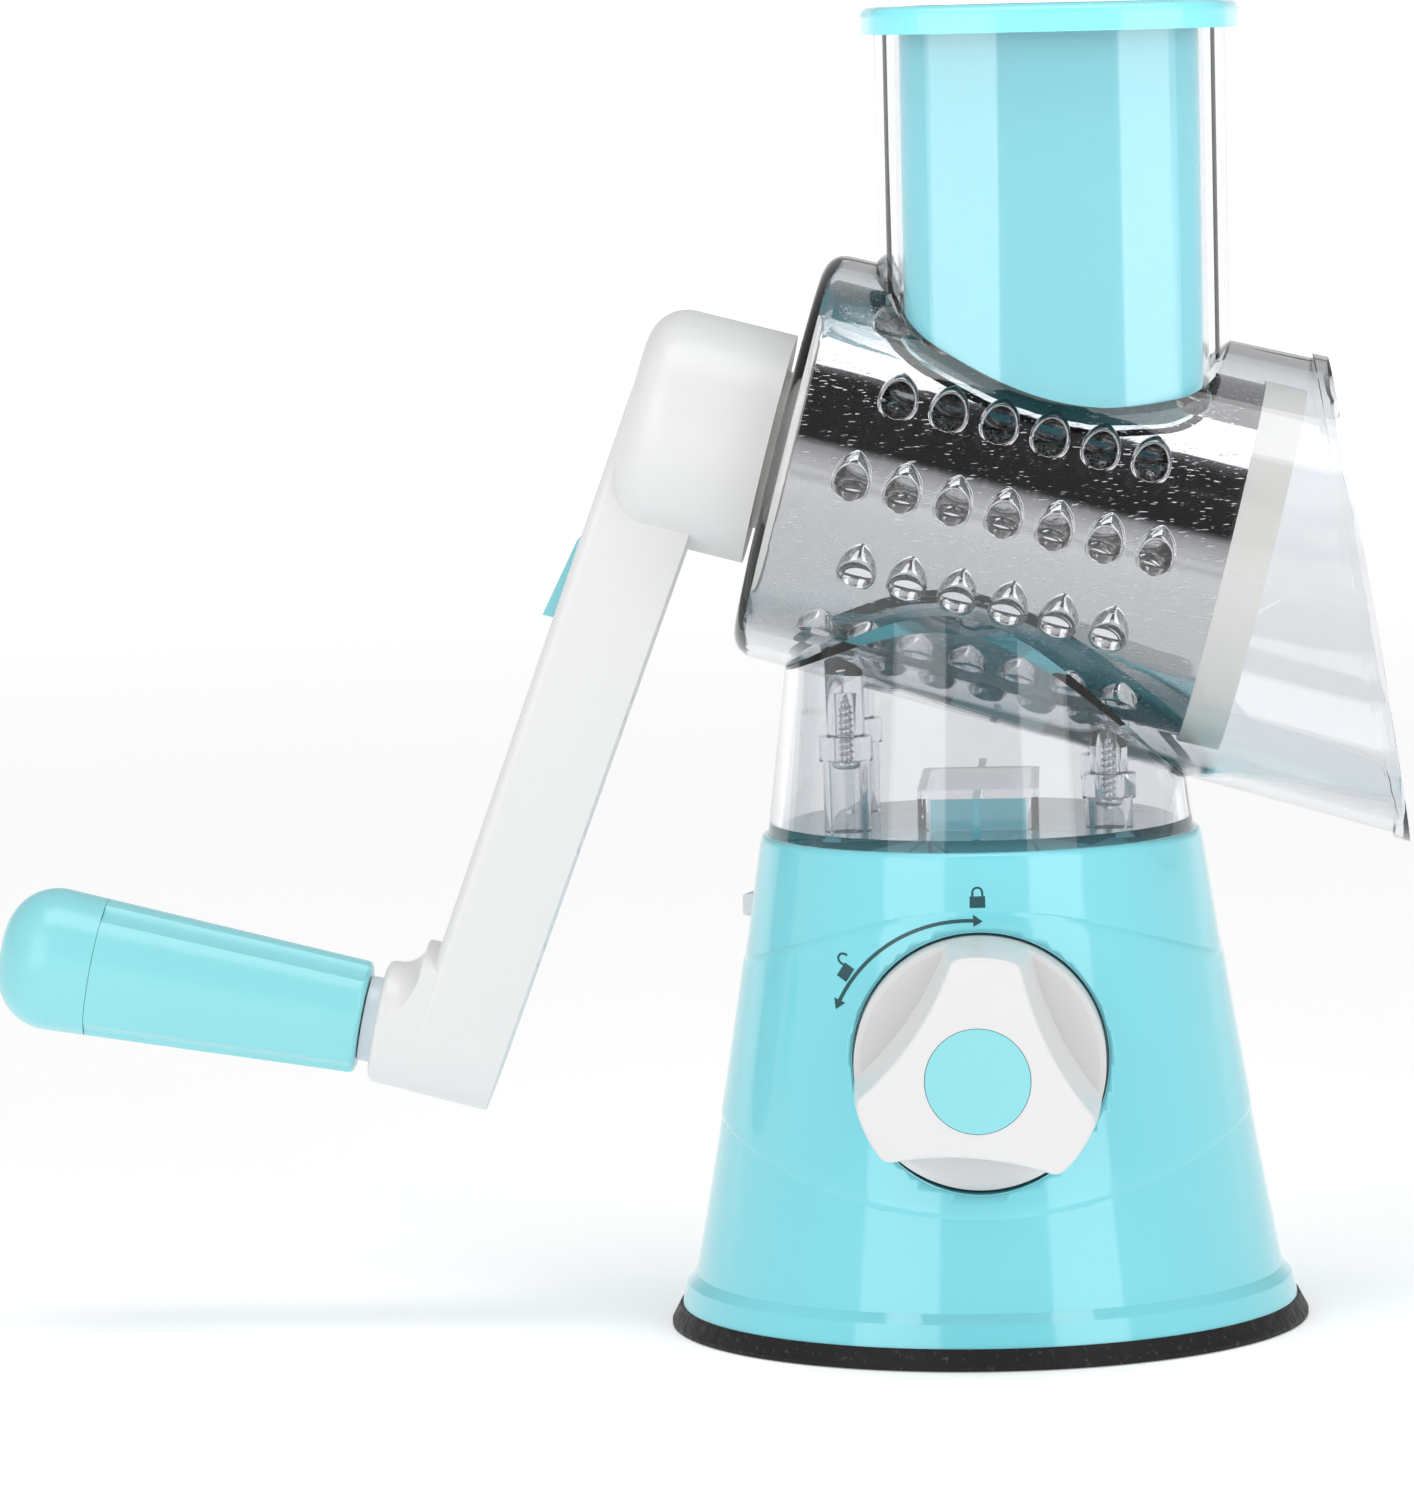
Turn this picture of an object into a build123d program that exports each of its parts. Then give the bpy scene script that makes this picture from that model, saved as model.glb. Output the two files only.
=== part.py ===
"""Hand-cranked rotary drum grater on a suction base, as an assembly of separate pieces.

Frame: millimetres, origin on the table at the middle of the base, +Z up, +X towards the
outlet, -Y towards the knob. The drum, barrel and crank share one axis that dips towards
the outlet. Places on it are given by s, the distance along the axis, and r, the distance
from it.
"""
from build123d import *
from math import atan2, cos, degrees, radians, sin, sqrt, tan
import os

os.makedirs("parts", exist_ok=True)

# ---------------------------------------------------------------- driving dimensions (mm)
running_gap = 0.3            # between pieces that turn or slide in each other
seat_gap = 0.1               # between pieces that are fixed in each other

# base shell
shell_wall = 2.5
foot_z = 4.0                 # lower edge, on the pad's lip
foot_radius = 60.9
step_z = 8.4
step_radius = 59.8
skirt_z = 10.2
skirt_radius = 58.0
deck_z = 97.0
deck_radius = 43.3
skirt_hollow = 0.5           # how far the side is drawn in half way up
deck_round = 1.2
dock_length = 20.0           # block on the deck that the stand plugs on to, along X
dock_depth = 40.0
dock_height = 8.0
dock_round = 2.0
floor_boss_radius = 4.0
floor_boss_circle = 45.5
floor_boss_top = 45.0
fixing_count = 4

# floor plate and pad
floor_z = 8.0
floor_wall = 2.5
hat_radius = 28.0            # raised middle of the floor plate, over the pad's stem
hat_height = 8.0
guide_wall = 2.5
guide_height = 12.0
bracket_width = 18.0
bracket_thickness = 6.0
bracket_y = -16.0            # its front face
bracket_cover = 9.0          # above the shaft's axis
pad_radius = 63.0
pad_edge = 0.8               # height of its upright edge
pad_lip_top_radius = 61.3
pad_thickness = 3.0
pad_sole_width = 13.0
pad_rib_width = 6.0
pad_dome = 3.5               # how far the locked pad's middle is drawn up
pad_stroke = 3.0

# suction knob
knob_z = 57.3
knob_radius = 24.15
knob_rim_y = 52.0            # distance of the rim in front of the drum's plane
knob_front_y = 74.0
knob_skirt_depth = 12.0
knob_dish = 2.5
knob_lip = 1.2
lobe_count = 3
lobe_reach = 23.5
lobe_width = 13.0
lobe_scoop = 2.2
lobe_corner = 2.5
lobe_draft = 4.0             # degrees
lobe_edge = 1.0
knob_rest_turn = 5.0         # degrees past upright, clockwise
cap_radius = 10.0
cap_thickness = 3.0
cap_proud = 0.2
well_back_y = 36.0
shaft_radius = 5.0
shaft_front_y = 62.0
shaft_flange_radius = 7.5
shaft_flange_width = 2.2
knob_throw = 67.0            # degrees from locked to released
cam_pin_radius = 3.2
cam_pin_length = 14.0
web_thickness = 2.5
stem_radius = 5.0
stem_foot_radius = 20.0
stem_foot_thickness = 3.0
yoke_length = 20.0
yoke_depth = 11.0
yoke_height = 18.0
spring_turns = 4
pad_spring_radius = 9.0
pad_spring_wire = 1.2
knob_screw_radius = 1.9
knob_screw_head_radius = 4.0
knob_screw_head = 2.4
knob_screw_length = 16.0

# latch of the housing
latch_azimuth = 164.0        # degrees from +X, so it is at the back left
latch_z = 81.7
nub_width = 10.0
nub_height = 4.4
nub_reach = 3.0
nub_round = 1.2
latch_plate_thickness = 2.5
latch_plate_width = 14.0
latch_travel = 2.5
riser_radius = 31.0
riser_thickness = 2.5
nose_bite = 1.3              # how far the nose reaches into the tab's window
nose_height = 3.0
tab_clearance = 2.0          # between the riser and the tab
tab_thickness = 2.5
tab_width = 9.0
tab_drop = 12.0
latch_spring_radius = 2.6
latch_spring_wire = 0.7
latch_spring_solid = 4.5     # length when the latch is pressed
rib_thickness = 2.5

# drum axis
axis_z = 162.0
axis_dip = 15.0              # degrees

# barrel, chute and outlet
barrel_wall = 2.4
barrel_start = -39.5         # outer face of the closed end
barrel_radius = 40.4         # outside, at the closed end
barrel_draft = 1.4           # degrees
barrel_round = 4.5
mouth_top_s = 60.8
mouth_bottom_s = 98.7
mouth_bead = 3.0
mouth_bead_proud = 0.9
chute_center_x = 16.4
chute_length = 68.8
chute_depth = 68.0
chute_front_bulge = 7.6      # how far its front and back stand out in the middle
chute_side_bulge = 4.4
chute_round = 14.0
chute_wall = 2.5
chute_top_z = 253.4

# stand
stand_radius = 41.9
stand_wall = 2.5
stand_draft = 7.0            # degrees
stand_floor = 2.0
post_x = 25.0
post_y = 18.5
post_radius = 4.4
collar_radius = 5.0
boss_radius = 3.5
left_seat_z = 112.8
right_seat_z = 104.7
collar_height = 4.8
socket_wall = 1.6
socket_top = 2.0
stand_rib = 1.5
screw_radius = 1.5
screw_length = 13.0
screw_head_radius = 2.65
screw_head = 1.6

# pusher
pusher_gap = 1.0
pusher_wall = 2.2
pusher_bottom_radius = 39.0  # about the drum axis
rim_overhang = 2.6
rim_height = 5.3
rim_round = 2.0

# drum
sleeve_radius = 35.5
sleeve_wall = 0.6
sleeve_start = -35.7
sleeve_end = 52.8
ring_start = 49.8
ring_end = 58.0
ring_radius = 36.3
ring_bore = 33.6
hub_disc = 0.8
hub_plug = 5.0
hub_floor = 3.0
tooth_rows = 12
tooth_pitch = 10.0
teeth_long_row = 7
long_row_start = 12.1
short_row_start = 17.1
first_row_angle = 6.6        # degrees from +r, towards the knob side
row_spacing = 27.8           # degrees, so that the seam at the top stays plain
tooth_sphere = 4.3
tooth_height = 1.8
tooth_wall = 0.6
collar_journal_radius = 15.8
tube_radius = 13.5
tube_wall = 2.0
tube_end = -65.6
window_width = 7.0
window_length = 5.2

# crank
crank_wall = 2.5
crank_face = -41.3           # face next to the barrel
crank_hub_radius = 23.0
crank_hub_round = 8.0
crank_hub_s = -69.7          # outer face of the hub
crank_outer_s = -70.6        # outer face of the arm, carried up to the axis
crank_outer_lean = 5.3       # degrees
crank_inner_s = -50.3
crank_inner_lean = 5.9
crank_seam_s = -57.5
crank_seam_lean = 5.5
arm_top_width = 26.0
arm_bottom_width = 24.0
crank_edge = 2.4
socket_radius = 16.5
socket_end = -66.2
crank_screw_places = (-56.0, -84.0, -108.0)
crank_post_radius = 3.2
crank_screw_length = 11.0

# grip
grip_s = -92.8               # inner end, on its own splayed axis
grip_r = -129.0
grip_splay = 3.3             # degrees from the drum axis
grip_boss_radius = 12.3
grip_boss_edge = 1.5
grip_boss_flare = 5.4        # radius of the hollow where it runs out on the arm
grip_boss_length = 1.1       # of the boss in front of the grip's inner end
collar_ring_radius = 8.5
collar_ring_width = 1.8
grip_length = 73.2
grip_inner_radius = 11.2
grip_outer_radius = 14.2
grip_widest = 62.4           # distance of the widest place from the inner end
grip_dome = 10.3
grip_split = 54.0            # where the end cap begins
grip_wall = 2.5
flute_count = 6
flute_depth = 0.6
flute_width = 7.0
axle_radius = 3.0
axle_head_radius = 5.5
axle_head = 3.0
axle_inside = 17.0           # how far the axle reaches back into the arm

# release button and catch on the crank
button_top = -26.0
button_bottom = -42.0
button_width = 10.0
button_proud_top = 0.7
button_proud_bottom = 2.4
button_flange = 1.2          # thickness of the flange inside the shell, and how far it reaches out
button_travel = 2.0
catch_width = 6.0
catch_thickness = 4.0
catch_s = -62.0              # its outer face
catch_tip = -12.0
catch_ramp_top = -34.0
catch_ramp = 5.5
catch_bottom = -45.0
catch_spring_radius = 1.6
catch_spring_wire = 0.5
catch_spring_solid = 4.0     # length when the button is pressed
catch_seat_depth = 2.0
catch_seat_width = 7.0

# ---------------------------------------------------------------- frames and outlines
dip = radians(axis_dip)
axis_origin = Vector(0, 0, axis_z)
axis_dir = Vector(cos(dip), 0, -sin(dip))
up_dir = Vector(sin(dip), 0, cos(dip))
drum_axis = Axis(axis_origin, axis_dir)
side_plane = Plane(origin=axis_origin, x_dir=axis_dir, z_dir=(0, -1, 0))


def at(s, r):
    """World point at s along the drum axis and r above it."""
    return axis_origin + axis_dir * s + up_dir * r


def cross_plane(s):
    """Plane square to the drum axis: local x is up, local y towards the knob side."""
    return Plane(origin=at(s, 0), x_dir=up_dir, z_dir=axis_dir)


def front_plane(distance):
    """Plane facing the knob side, at this distance in front of the drum's axis."""
    return Plane(origin=(0, -distance, 0), x_dir=(1, 0, 0), z_dir=(0, -1, 0))


def polar(radius, angle):
    return Vector(radius * cos(radians(angle)), radius * sin(radians(angle)))


def export(piece, name):
    piece.part.label = name
    export_step(piece.part, f"parts/{name}.step")


def shell_solid(inset):
    """Solid of the base's outer shape, drawn in by inset on its sides."""
    middle = (skirt_radius + deck_radius) / 2 - skirt_hollow - inset
    with BuildPart() as solid:
        with BuildSketch(Plane.XZ):
            with BuildLine():
                Polyline(
                    (deck_radius - inset, deck_z),
                    (0, deck_z),
                    (0, foot_z),
                    (foot_radius - inset, foot_z),
                    (step_radius - inset, step_z),
                    (skirt_radius - inset, skirt_z),
                )
                ThreePointArc(
                    (skirt_radius - inset, skirt_z),
                    (middle, (skirt_z + deck_z) / 2),
                    (deck_radius - inset, deck_z),
                )
            make_face()
        revolve(axis=Axis.Z)
    return solid.part


def shell_radius(z):
    """Outside radius of the base shell at height z."""
    share = (z - skirt_z) / (deck_z - skirt_z)
    straight = skirt_radius + (deck_radius - skirt_radius) * share
    return straight - 4 * skirt_hollow * share * (1 - share)


def coil(plane, radius, wire, length, turns):
    """Compression spring standing on a plane, its wire clear of both seats."""
    with BuildPart() as spring:
        height = length - 2 * wire
        path = Helix(pitch=height / turns, height=height, radius=radius)
        path = plane.offset(wire).location * path
        with BuildSketch(Plane(origin=path @ 0, z_dir=path % 0)):
            Circle(wire / 2)
        sweep(path=path, is_frenet=True)
    return spring.part


def barrel_radius_at(s):
    return barrel_radius + (s - barrel_start) * tan(radians(barrel_draft))


def barrel_solid(start, end, grow):
    """Solid of revolution on the drum axis with the barrel's draft."""
    with BuildPart() as solid:
        with BuildSketch(side_plane):
            with BuildLine():
                Polyline(
                    (start, 0),
                    (start, barrel_radius_at(start) + grow),
                    (end, barrel_radius_at(end) + grow),
                    (end, 0),
                    close=True,
                )
            make_face()
        revolve(axis=drum_axis)
    return solid.part


def chute_section(inset):
    """Chute's plan, an oblong with bulged sides and round corners, drawn in by inset."""
    half_length = chute_length / 2
    half_depth = chute_depth / 2
    corner_x = half_length - chute_side_bulge
    corner_y = half_depth - chute_front_bulge
    with BuildSketch() as section:
        with BuildLine():
            ThreePointArc((corner_x, -corner_y), (half_length, 0), (corner_x, corner_y))
            ThreePointArc((corner_x, corner_y), (0, half_depth), (-corner_x, corner_y))
            ThreePointArc((-corner_x, corner_y), (-half_length, 0), (-corner_x, -corner_y))
            ThreePointArc((-corner_x, -corner_y), (0, -half_depth), (corner_x, -corner_y))
        make_face()
        fillet(section.vertices(), chute_round)
        if inset:
            offset(amount=-inset)
    return section.sketch.face()


def chute_prism(inset, bottom, top):
    """Upright prism with the chute's section, drawn in by inset."""
    section = chute_section(inset)
    with BuildPart() as prism:
        with BuildSketch(Plane.XY.offset(bottom)):
            with Locations((chute_center_x, 0)):
                add(section)
        extrude(amount=top - bottom)
    return prism.part


def drum_cylinder(radius):
    """Long plain cylinder on the drum axis."""
    with BuildPart() as cylinder:
        with BuildSketch(cross_plane(barrel_start)):
            Circle(radius)
        extrude(amount=mouth_bottom_s - barrel_start)
    return cylinder.part


def stand_solid(inset):
    """Solid of the stand's cone, drawn in by inset."""
    with BuildPart() as cone:
        with BuildSketch(Plane.XY.offset(deck_z)):
            Circle(stand_radius - inset)
        extrude(amount=axis_z - deck_z - post_y, taper=stand_draft)
    return cone.part


# ---------------------------------------------------------------- base
floor_top = floor_z + floor_wall
hat_z = floor_z + hat_height
well_radius = knob_radius + 2 * running_gap
well_floor_y = well_back_y + shell_wall
radial = Vector(cos(radians(latch_azimuth)), sin(radians(latch_azimuth)), 0)
tab_radius = riser_radius + riser_thickness + tab_clearance
nose_length = tab_clearance + nose_bite
latch_spring_length = latch_spring_solid + latch_travel
fixing_angle = 360 / fixing_count / 2


def latch_plane(z):
    """Level plane whose local x points out through the latch's window."""
    return Plane(origin=(0, 0, z), x_dir=radial, z_dir=(0, 0, 1))


with BuildPart() as knob_well:
    with BuildSketch(front_plane(well_back_y)):
        with Locations((0, knob_z)):
            Circle(well_radius + shell_wall)
    extrude(amount=foot_radius - well_back_y)
    add(shell_solid(0), mode=Mode.INTERSECT)

with BuildPart() as shell_hollow:
    add(shell_solid(shell_wall))
    split(bisect_by=Plane.XY.offset(deck_z - shell_wall), keep=Keep.BOTTOM)

with BuildPart() as base_shell:
    add(shell_solid(0))
    fillet(base_shell.faces().sort_by(Axis.Z)[-1].edges(), deck_round)
    add(shell_hollow.part, mode=Mode.SUBTRACT)
    add(knob_well.part)
    # well for the knob, with the shaft's bore in its back
    with BuildSketch(front_plane(well_floor_y)):
        with Locations((0, knob_z)):
            Circle(well_radius)
    extrude(amount=foot_radius, mode=Mode.SUBTRACT)
    with BuildSketch(front_plane(well_back_y)):
        with Locations((0, knob_z)):
            Circle(shaft_radius + seat_gap)
    extrude(amount=shell_wall, mode=Mode.SUBTRACT)
    # bosses for the floor plate's screws
    with BuildSketch(Plane.XY.offset(floor_top)):
        with PolarLocations(floor_boss_circle, fixing_count, start_angle=fixing_angle):
            Circle(floor_boss_radius)
    extrude(amount=floor_boss_top - floor_top)
    with BuildSketch(Plane.XY.offset(floor_top)):
        with PolarLocations(floor_boss_circle, fixing_count, start_angle=fixing_angle):
            Circle(screw_radius + seat_gap)
    extrude(amount=screw_length, mode=Mode.SUBTRACT)
    # dock for the stand
    with BuildSketch(Plane.XY.offset(deck_z)):
        RectangleRounded(dock_length, dock_depth, dock_round)
    extrude(amount=dock_height)
    # window and slot for the latch, and the rib behind its spring
    with BuildSketch(latch_plane(latch_z - nub_height / 2 - running_gap)):
        with Locations((shell_radius(latch_z), 0)):
            Rectangle(4 * shell_wall, nub_width + 2 * running_gap)
    extrude(amount=nub_height + 2 * running_gap, mode=Mode.SUBTRACT)
    with BuildSketch(latch_plane(deck_z - shell_wall)):
        with Locations((tab_radius + tab_thickness / 2, 0)):
            Rectangle(tab_thickness + 2 * running_gap, tab_width + 2 * running_gap)
    extrude(amount=shell_wall, mode=Mode.SUBTRACT)
    with BuildSketch(latch_plane(latch_z)):
        with Locations((riser_radius - latch_spring_length - rib_thickness / 2, 0)):
            Rectangle(rib_thickness, nub_width)
    extrude(amount=deck_z - shell_wall - latch_z)
export(base_shell, "base_shell")

with BuildPart() as base_floor:
    with BuildSketch(Plane.XZ):
        with BuildLine():
            Polyline(
                (stem_radius + running_gap, hat_z),
                (hat_radius, hat_z),
                (hat_radius, floor_z),
                (skirt_radius - shell_wall - seat_gap, floor_z),
                (skirt_radius - shell_wall - seat_gap, floor_top),
                (hat_radius + floor_wall, floor_top),
                (hat_radius + floor_wall, hat_z + floor_wall),
                (stem_radius + guide_wall, hat_z + floor_wall),
                (stem_radius + guide_wall, hat_z + floor_wall + guide_height),
                (stem_radius + running_gap, hat_z + floor_wall + guide_height),
                close=True,
            )
        make_face()
    revolve(axis=Axis.Z)
    with BuildSketch(Plane.XY.offset(floor_z)):
        with PolarLocations(floor_boss_circle, fixing_count, start_angle=fixing_angle):
            Circle(screw_radius + running_gap)
    extrude(amount=floor_wall, mode=Mode.SUBTRACT)
    # upright that carries the inner end of the shaft
    with BuildSketch(Plane.XY.offset(hat_z)):
        with Locations((0, bracket_y + bracket_thickness / 2)):
            Rectangle(bracket_width, bracket_thickness)
    extrude(amount=knob_z + bracket_cover - hat_z)
    with BuildSketch(front_plane(-bracket_y - bracket_thickness)):
        with Locations((0, knob_z)):
            Circle(shaft_radius + seat_gap)
    extrude(amount=bracket_thickness, mode=Mode.SUBTRACT)
export(base_floor, "base_floor")

with BuildPart() as floor_screws:
    with BuildSketch(Plane.XY.offset(floor_z)):
        with PolarLocations(floor_boss_circle, fixing_count, start_angle=fixing_angle):
            Circle(screw_radius)
    extrude(amount=screw_length)
    with BuildSketch(Plane.XY.offset(floor_z - screw_head)):
        with PolarLocations(floor_boss_circle, fixing_count, start_angle=fixing_angle):
            Circle(screw_head_radius)
    extrude(amount=screw_head)
export(floor_screws, "floor_screws")

sole_radius = pad_radius - pad_sole_width
rib_outer = skirt_radius - shell_wall - seat_gap
with BuildPart() as suction_pad:
    with BuildSketch(Plane.XZ):
        with BuildLine():
            Polyline(
                (0, pad_dome + pad_thickness),
                (0, pad_dome),
                (stem_foot_radius, pad_dome),
                (sole_radius, 0),
                (pad_radius, 0),
                (pad_radius, pad_edge),
                (pad_lip_top_radius, foot_z),
                (rib_outer, foot_z),
                (rib_outer, floor_z),
                (rib_outer - pad_rib_width, floor_z),
                (rib_outer - pad_rib_width, foot_z),
                (sole_radius, pad_thickness),
                (stem_foot_radius, pad_dome + pad_thickness),
                close=True,
            )
        make_face()
    revolve(axis=Axis.Z)
export(suction_pad, "suction_pad")

# ---------------------------------------------------------------- suction mechanism
cam_offset = pad_stroke / 2 / sin(radians(knob_throw / 2))
cam_x = -cam_offset * cos(radians(knob_throw / 2))
cam_z = knob_z + pad_stroke / 2
pin_start_y = cam_pin_length / 2
web_radius = cam_offset + cam_pin_radius + seat_gap

with BuildPart() as cam_shaft:
    with BuildSketch(front_plane(pin_start_y)):
        with Locations((0, knob_z)):
            Circle(shaft_radius)
    extrude(amount=shaft_front_y - pin_start_y)
    with BuildSketch(front_plane(pin_start_y)):
        with Locations((0, knob_z)):
            Circle(web_radius)
    extrude(amount=web_thickness)
    with BuildSketch(front_plane(pin_start_y - cam_pin_length)):
        with Locations((cam_x, cam_z)):
            Circle(cam_pin_radius)
    extrude(amount=cam_pin_length)
    with BuildSketch(front_plane(well_back_y - running_gap - shaft_flange_width)):
        with Locations((0, knob_z)):
            Circle(shaft_flange_radius)
    extrude(amount=shaft_flange_width)
    with BuildSketch(front_plane(shaft_front_y)):
        with Locations((0, knob_z)):
            Circle(knob_screw_radius + seat_gap)
    extrude(amount=-knob_screw_length, mode=Mode.SUBTRACT)
export(cam_shaft, "cam_shaft")

stem_foot_z = pad_dome + pad_thickness
with BuildPart() as lift_stem:
    with BuildSketch(Plane.XY.offset(stem_foot_z)):
        Circle(stem_foot_radius)
    extrude(amount=stem_foot_thickness)
    with BuildSketch(Plane.XY.offset(stem_foot_z)):
        Circle(stem_radius)
    extrude(amount=cam_z - stem_foot_z)
    with BuildSketch(Plane.XY.offset(cam_z - yoke_height / 2)):
        RectangleRounded(yoke_length, yoke_depth, dock_round)
    extrude(amount=yoke_height)
    # slot that the shaft's pin runs in
    slot_play = cam_offset + cam_x
    with BuildSketch(front_plane(yoke_depth)):
        with Locations((cam_x - slot_play / 2, cam_z)):
            SlotCenterToCenter(slot_play + seat_gap, 2 * (cam_pin_radius + seat_gap))
    extrude(amount=-2 * yoke_depth, mode=Mode.SUBTRACT)
export(lift_stem, "lift_stem")

stem_foot_top = stem_foot_z + stem_foot_thickness
pad_spring = coil(
    Plane.XY.offset(stem_foot_top),
    pad_spring_radius,
    pad_spring_wire,
    hat_z - stem_foot_top,
    spring_turns,
)
with BuildPart() as stem_spring:
    add(pad_spring)
export(stem_spring, "stem_spring")


def lobe_outline():
    """Closed outline of the grip: three blunt lobes with scooped sides between them."""
    corner_angle = degrees(atan2(lobe_width / 2, sqrt(lobe_reach**2 - (lobe_width / 2) ** 2)))
    step = 360 / lobe_count
    scoop_radius = lobe_reach * cos(radians(step / 2 - corner_angle)) - lobe_scoop
    with BuildLine() as outline:
        for index in range(lobe_count):
            middle = 90 - knob_rest_turn + index * step
            start = polar(lobe_reach, middle - corner_angle)
            end = polar(lobe_reach, middle + corner_angle)
            after = polar(lobe_reach, middle + step - corner_angle)
            ThreePointArc(start, polar(lobe_reach, middle), end)
            ThreePointArc(end, polar(scoop_radius, middle + step / 2), after)
    return outline.line


knob_back_y = knob_rim_y - knob_skirt_depth
with BuildPart() as lobes:
    with BuildSketch(front_plane(knob_front_y)) as lobe_face:
        with Locations((0, knob_z)):
            add(make_face(lobe_outline(), mode=Mode.PRIVATE))
        fillet(lobe_face.vertices(), lobe_corner)
    extrude(amount=-(knob_front_y - knob_back_y), taper=-lobe_draft)
    fillet(lobes.faces().sort_by(Axis.Y)[0].edges(), lobe_edge)
    with BuildSketch(front_plane(knob_back_y)):
        with Locations((0, knob_z)):
            Circle(knob_radius)
    extrude(amount=knob_front_y - knob_back_y, mode=Mode.INTERSECT)

with BuildPart() as suction_knob:
    with BuildSketch(front_plane(knob_back_y)):
        with Locations((0, knob_z)):
            Circle(knob_radius)
    extrude(amount=knob_skirt_depth)
    # dished face of the disc
    dish_radius = knob_radius - knob_lip
    dish_sphere = (dish_radius**2 + knob_dish**2) / (2 * knob_dish)
    with Locations((0, -knob_rim_y - dish_sphere + knob_dish, knob_z)):
        Sphere(dish_sphere, mode=Mode.SUBTRACT)
    add(lobes.part)
    with BuildSketch(front_plane(knob_back_y)):
        with Locations((0, knob_z)):
            Circle(shaft_radius + seat_gap)
    extrude(amount=shaft_front_y - knob_back_y, mode=Mode.SUBTRACT)
    with BuildSketch(front_plane(knob_front_y)):
        with Locations((0, knob_z)):
            Circle(cap_radius + seat_gap)
    extrude(amount=-cap_thickness, mode=Mode.SUBTRACT)
    with BuildSketch(front_plane(knob_front_y - cap_thickness)):
        with Locations((0, knob_z)):
            Circle(knob_screw_head_radius + running_gap)
    extrude(amount=-(knob_screw_head + running_gap), mode=Mode.SUBTRACT)
    with BuildSketch(front_plane(shaft_front_y)):
        with Locations((0, knob_z)):
            Circle(knob_screw_radius + seat_gap)
    extrude(amount=knob_front_y - shaft_front_y, mode=Mode.SUBTRACT)
export(suction_knob, "suction_knob")

with BuildPart() as knob_cap:
    with BuildSketch(front_plane(knob_front_y + cap_proud)):
        with Locations((0, knob_z)):
            Circle(cap_radius)
    extrude(amount=-(cap_thickness + cap_proud))
    fillet(knob_cap.faces().sort_by(Axis.Y)[0].edges(), cap_proud)
export(knob_cap, "knob_cap")

screw_seat_y = knob_front_y - cap_thickness - knob_screw_head - running_gap
with BuildPart() as knob_screw:
    with BuildSketch(front_plane(screw_seat_y)):
        with Locations((0, knob_z)):
            Circle(knob_screw_head_radius)
    extrude(amount=knob_screw_head)
    with BuildSketch(front_plane(screw_seat_y)):
        with Locations((0, knob_z)):
            Circle(knob_screw_radius)
    extrude(amount=-knob_screw_length)
export(knob_screw, "knob_screw")

# ---------------------------------------------------------------- housing latch
plate_z = latch_z - nub_height / 2
nose_z = deck_z - shell_wall - nose_height - running_gap
shell_inner = shell_radius(latch_z) - shell_wall
with BuildPart() as release_latch:
    nub_end = shell_radius(latch_z) + nub_reach
    with BuildSketch(latch_plane(plate_z)):
        with Locations(((riser_radius + nub_end) / 2, 0)):
            Rectangle(nub_end - riser_radius, nub_width)
    extrude(amount=nub_height)
    nub_face = release_latch.faces().sort_by(Axis(origin=(0, 0, 0), direction=radial))[-1]
    fillet(nub_face.edges(), nub_round)
    with BuildSketch(latch_plane(plate_z)):
        with Locations(((riser_radius + shell_inner - nub_round) / 2, 0)):
            Rectangle(shell_inner - nub_round - riser_radius, latch_plate_width)
    extrude(amount=latch_plate_thickness)
    with BuildSketch(latch_plane(plate_z)):
        with Locations((riser_radius + riser_thickness / 2, 0)):
            Rectangle(riser_thickness, nub_width)
    extrude(amount=nose_z + nose_height - plate_z)
    with BuildSketch(latch_plane(nose_z)):
        with Locations((riser_radius + riser_thickness + nose_length / 2, 0)):
            Rectangle(nose_length, catch_width)
    extrude(amount=nose_height)
export(release_latch, "release_latch")

spring_z = latch_z + nub_height / 2 + latch_spring_radius
latch_coil = coil(
    Plane(origin=radial * (riser_radius - latch_spring_length) + Vector(0, 0, spring_z), z_dir=radial),
    latch_spring_radius,
    latch_spring_wire,
    latch_spring_length,
    spring_turns,
)
with BuildPart() as latch_spring:
    add(latch_coil)
export(latch_spring, "latch_spring")

# ---------------------------------------------------------------- stand
post_places = [
    (-post_x, -post_y, left_seat_z),
    (-post_x, post_y, left_seat_z),
    (post_x, -post_y, right_seat_z),
    (post_x, post_y, right_seat_z),
]
stand_cut = barrel_solid(barrel_start, mouth_bottom_s, seat_gap)

with BuildPart() as stand_hollow:
    add(stand_solid(stand_wall))
    split(bisect_by=Plane.XY.offset(deck_z + stand_floor), keep=Keep.TOP)

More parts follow.
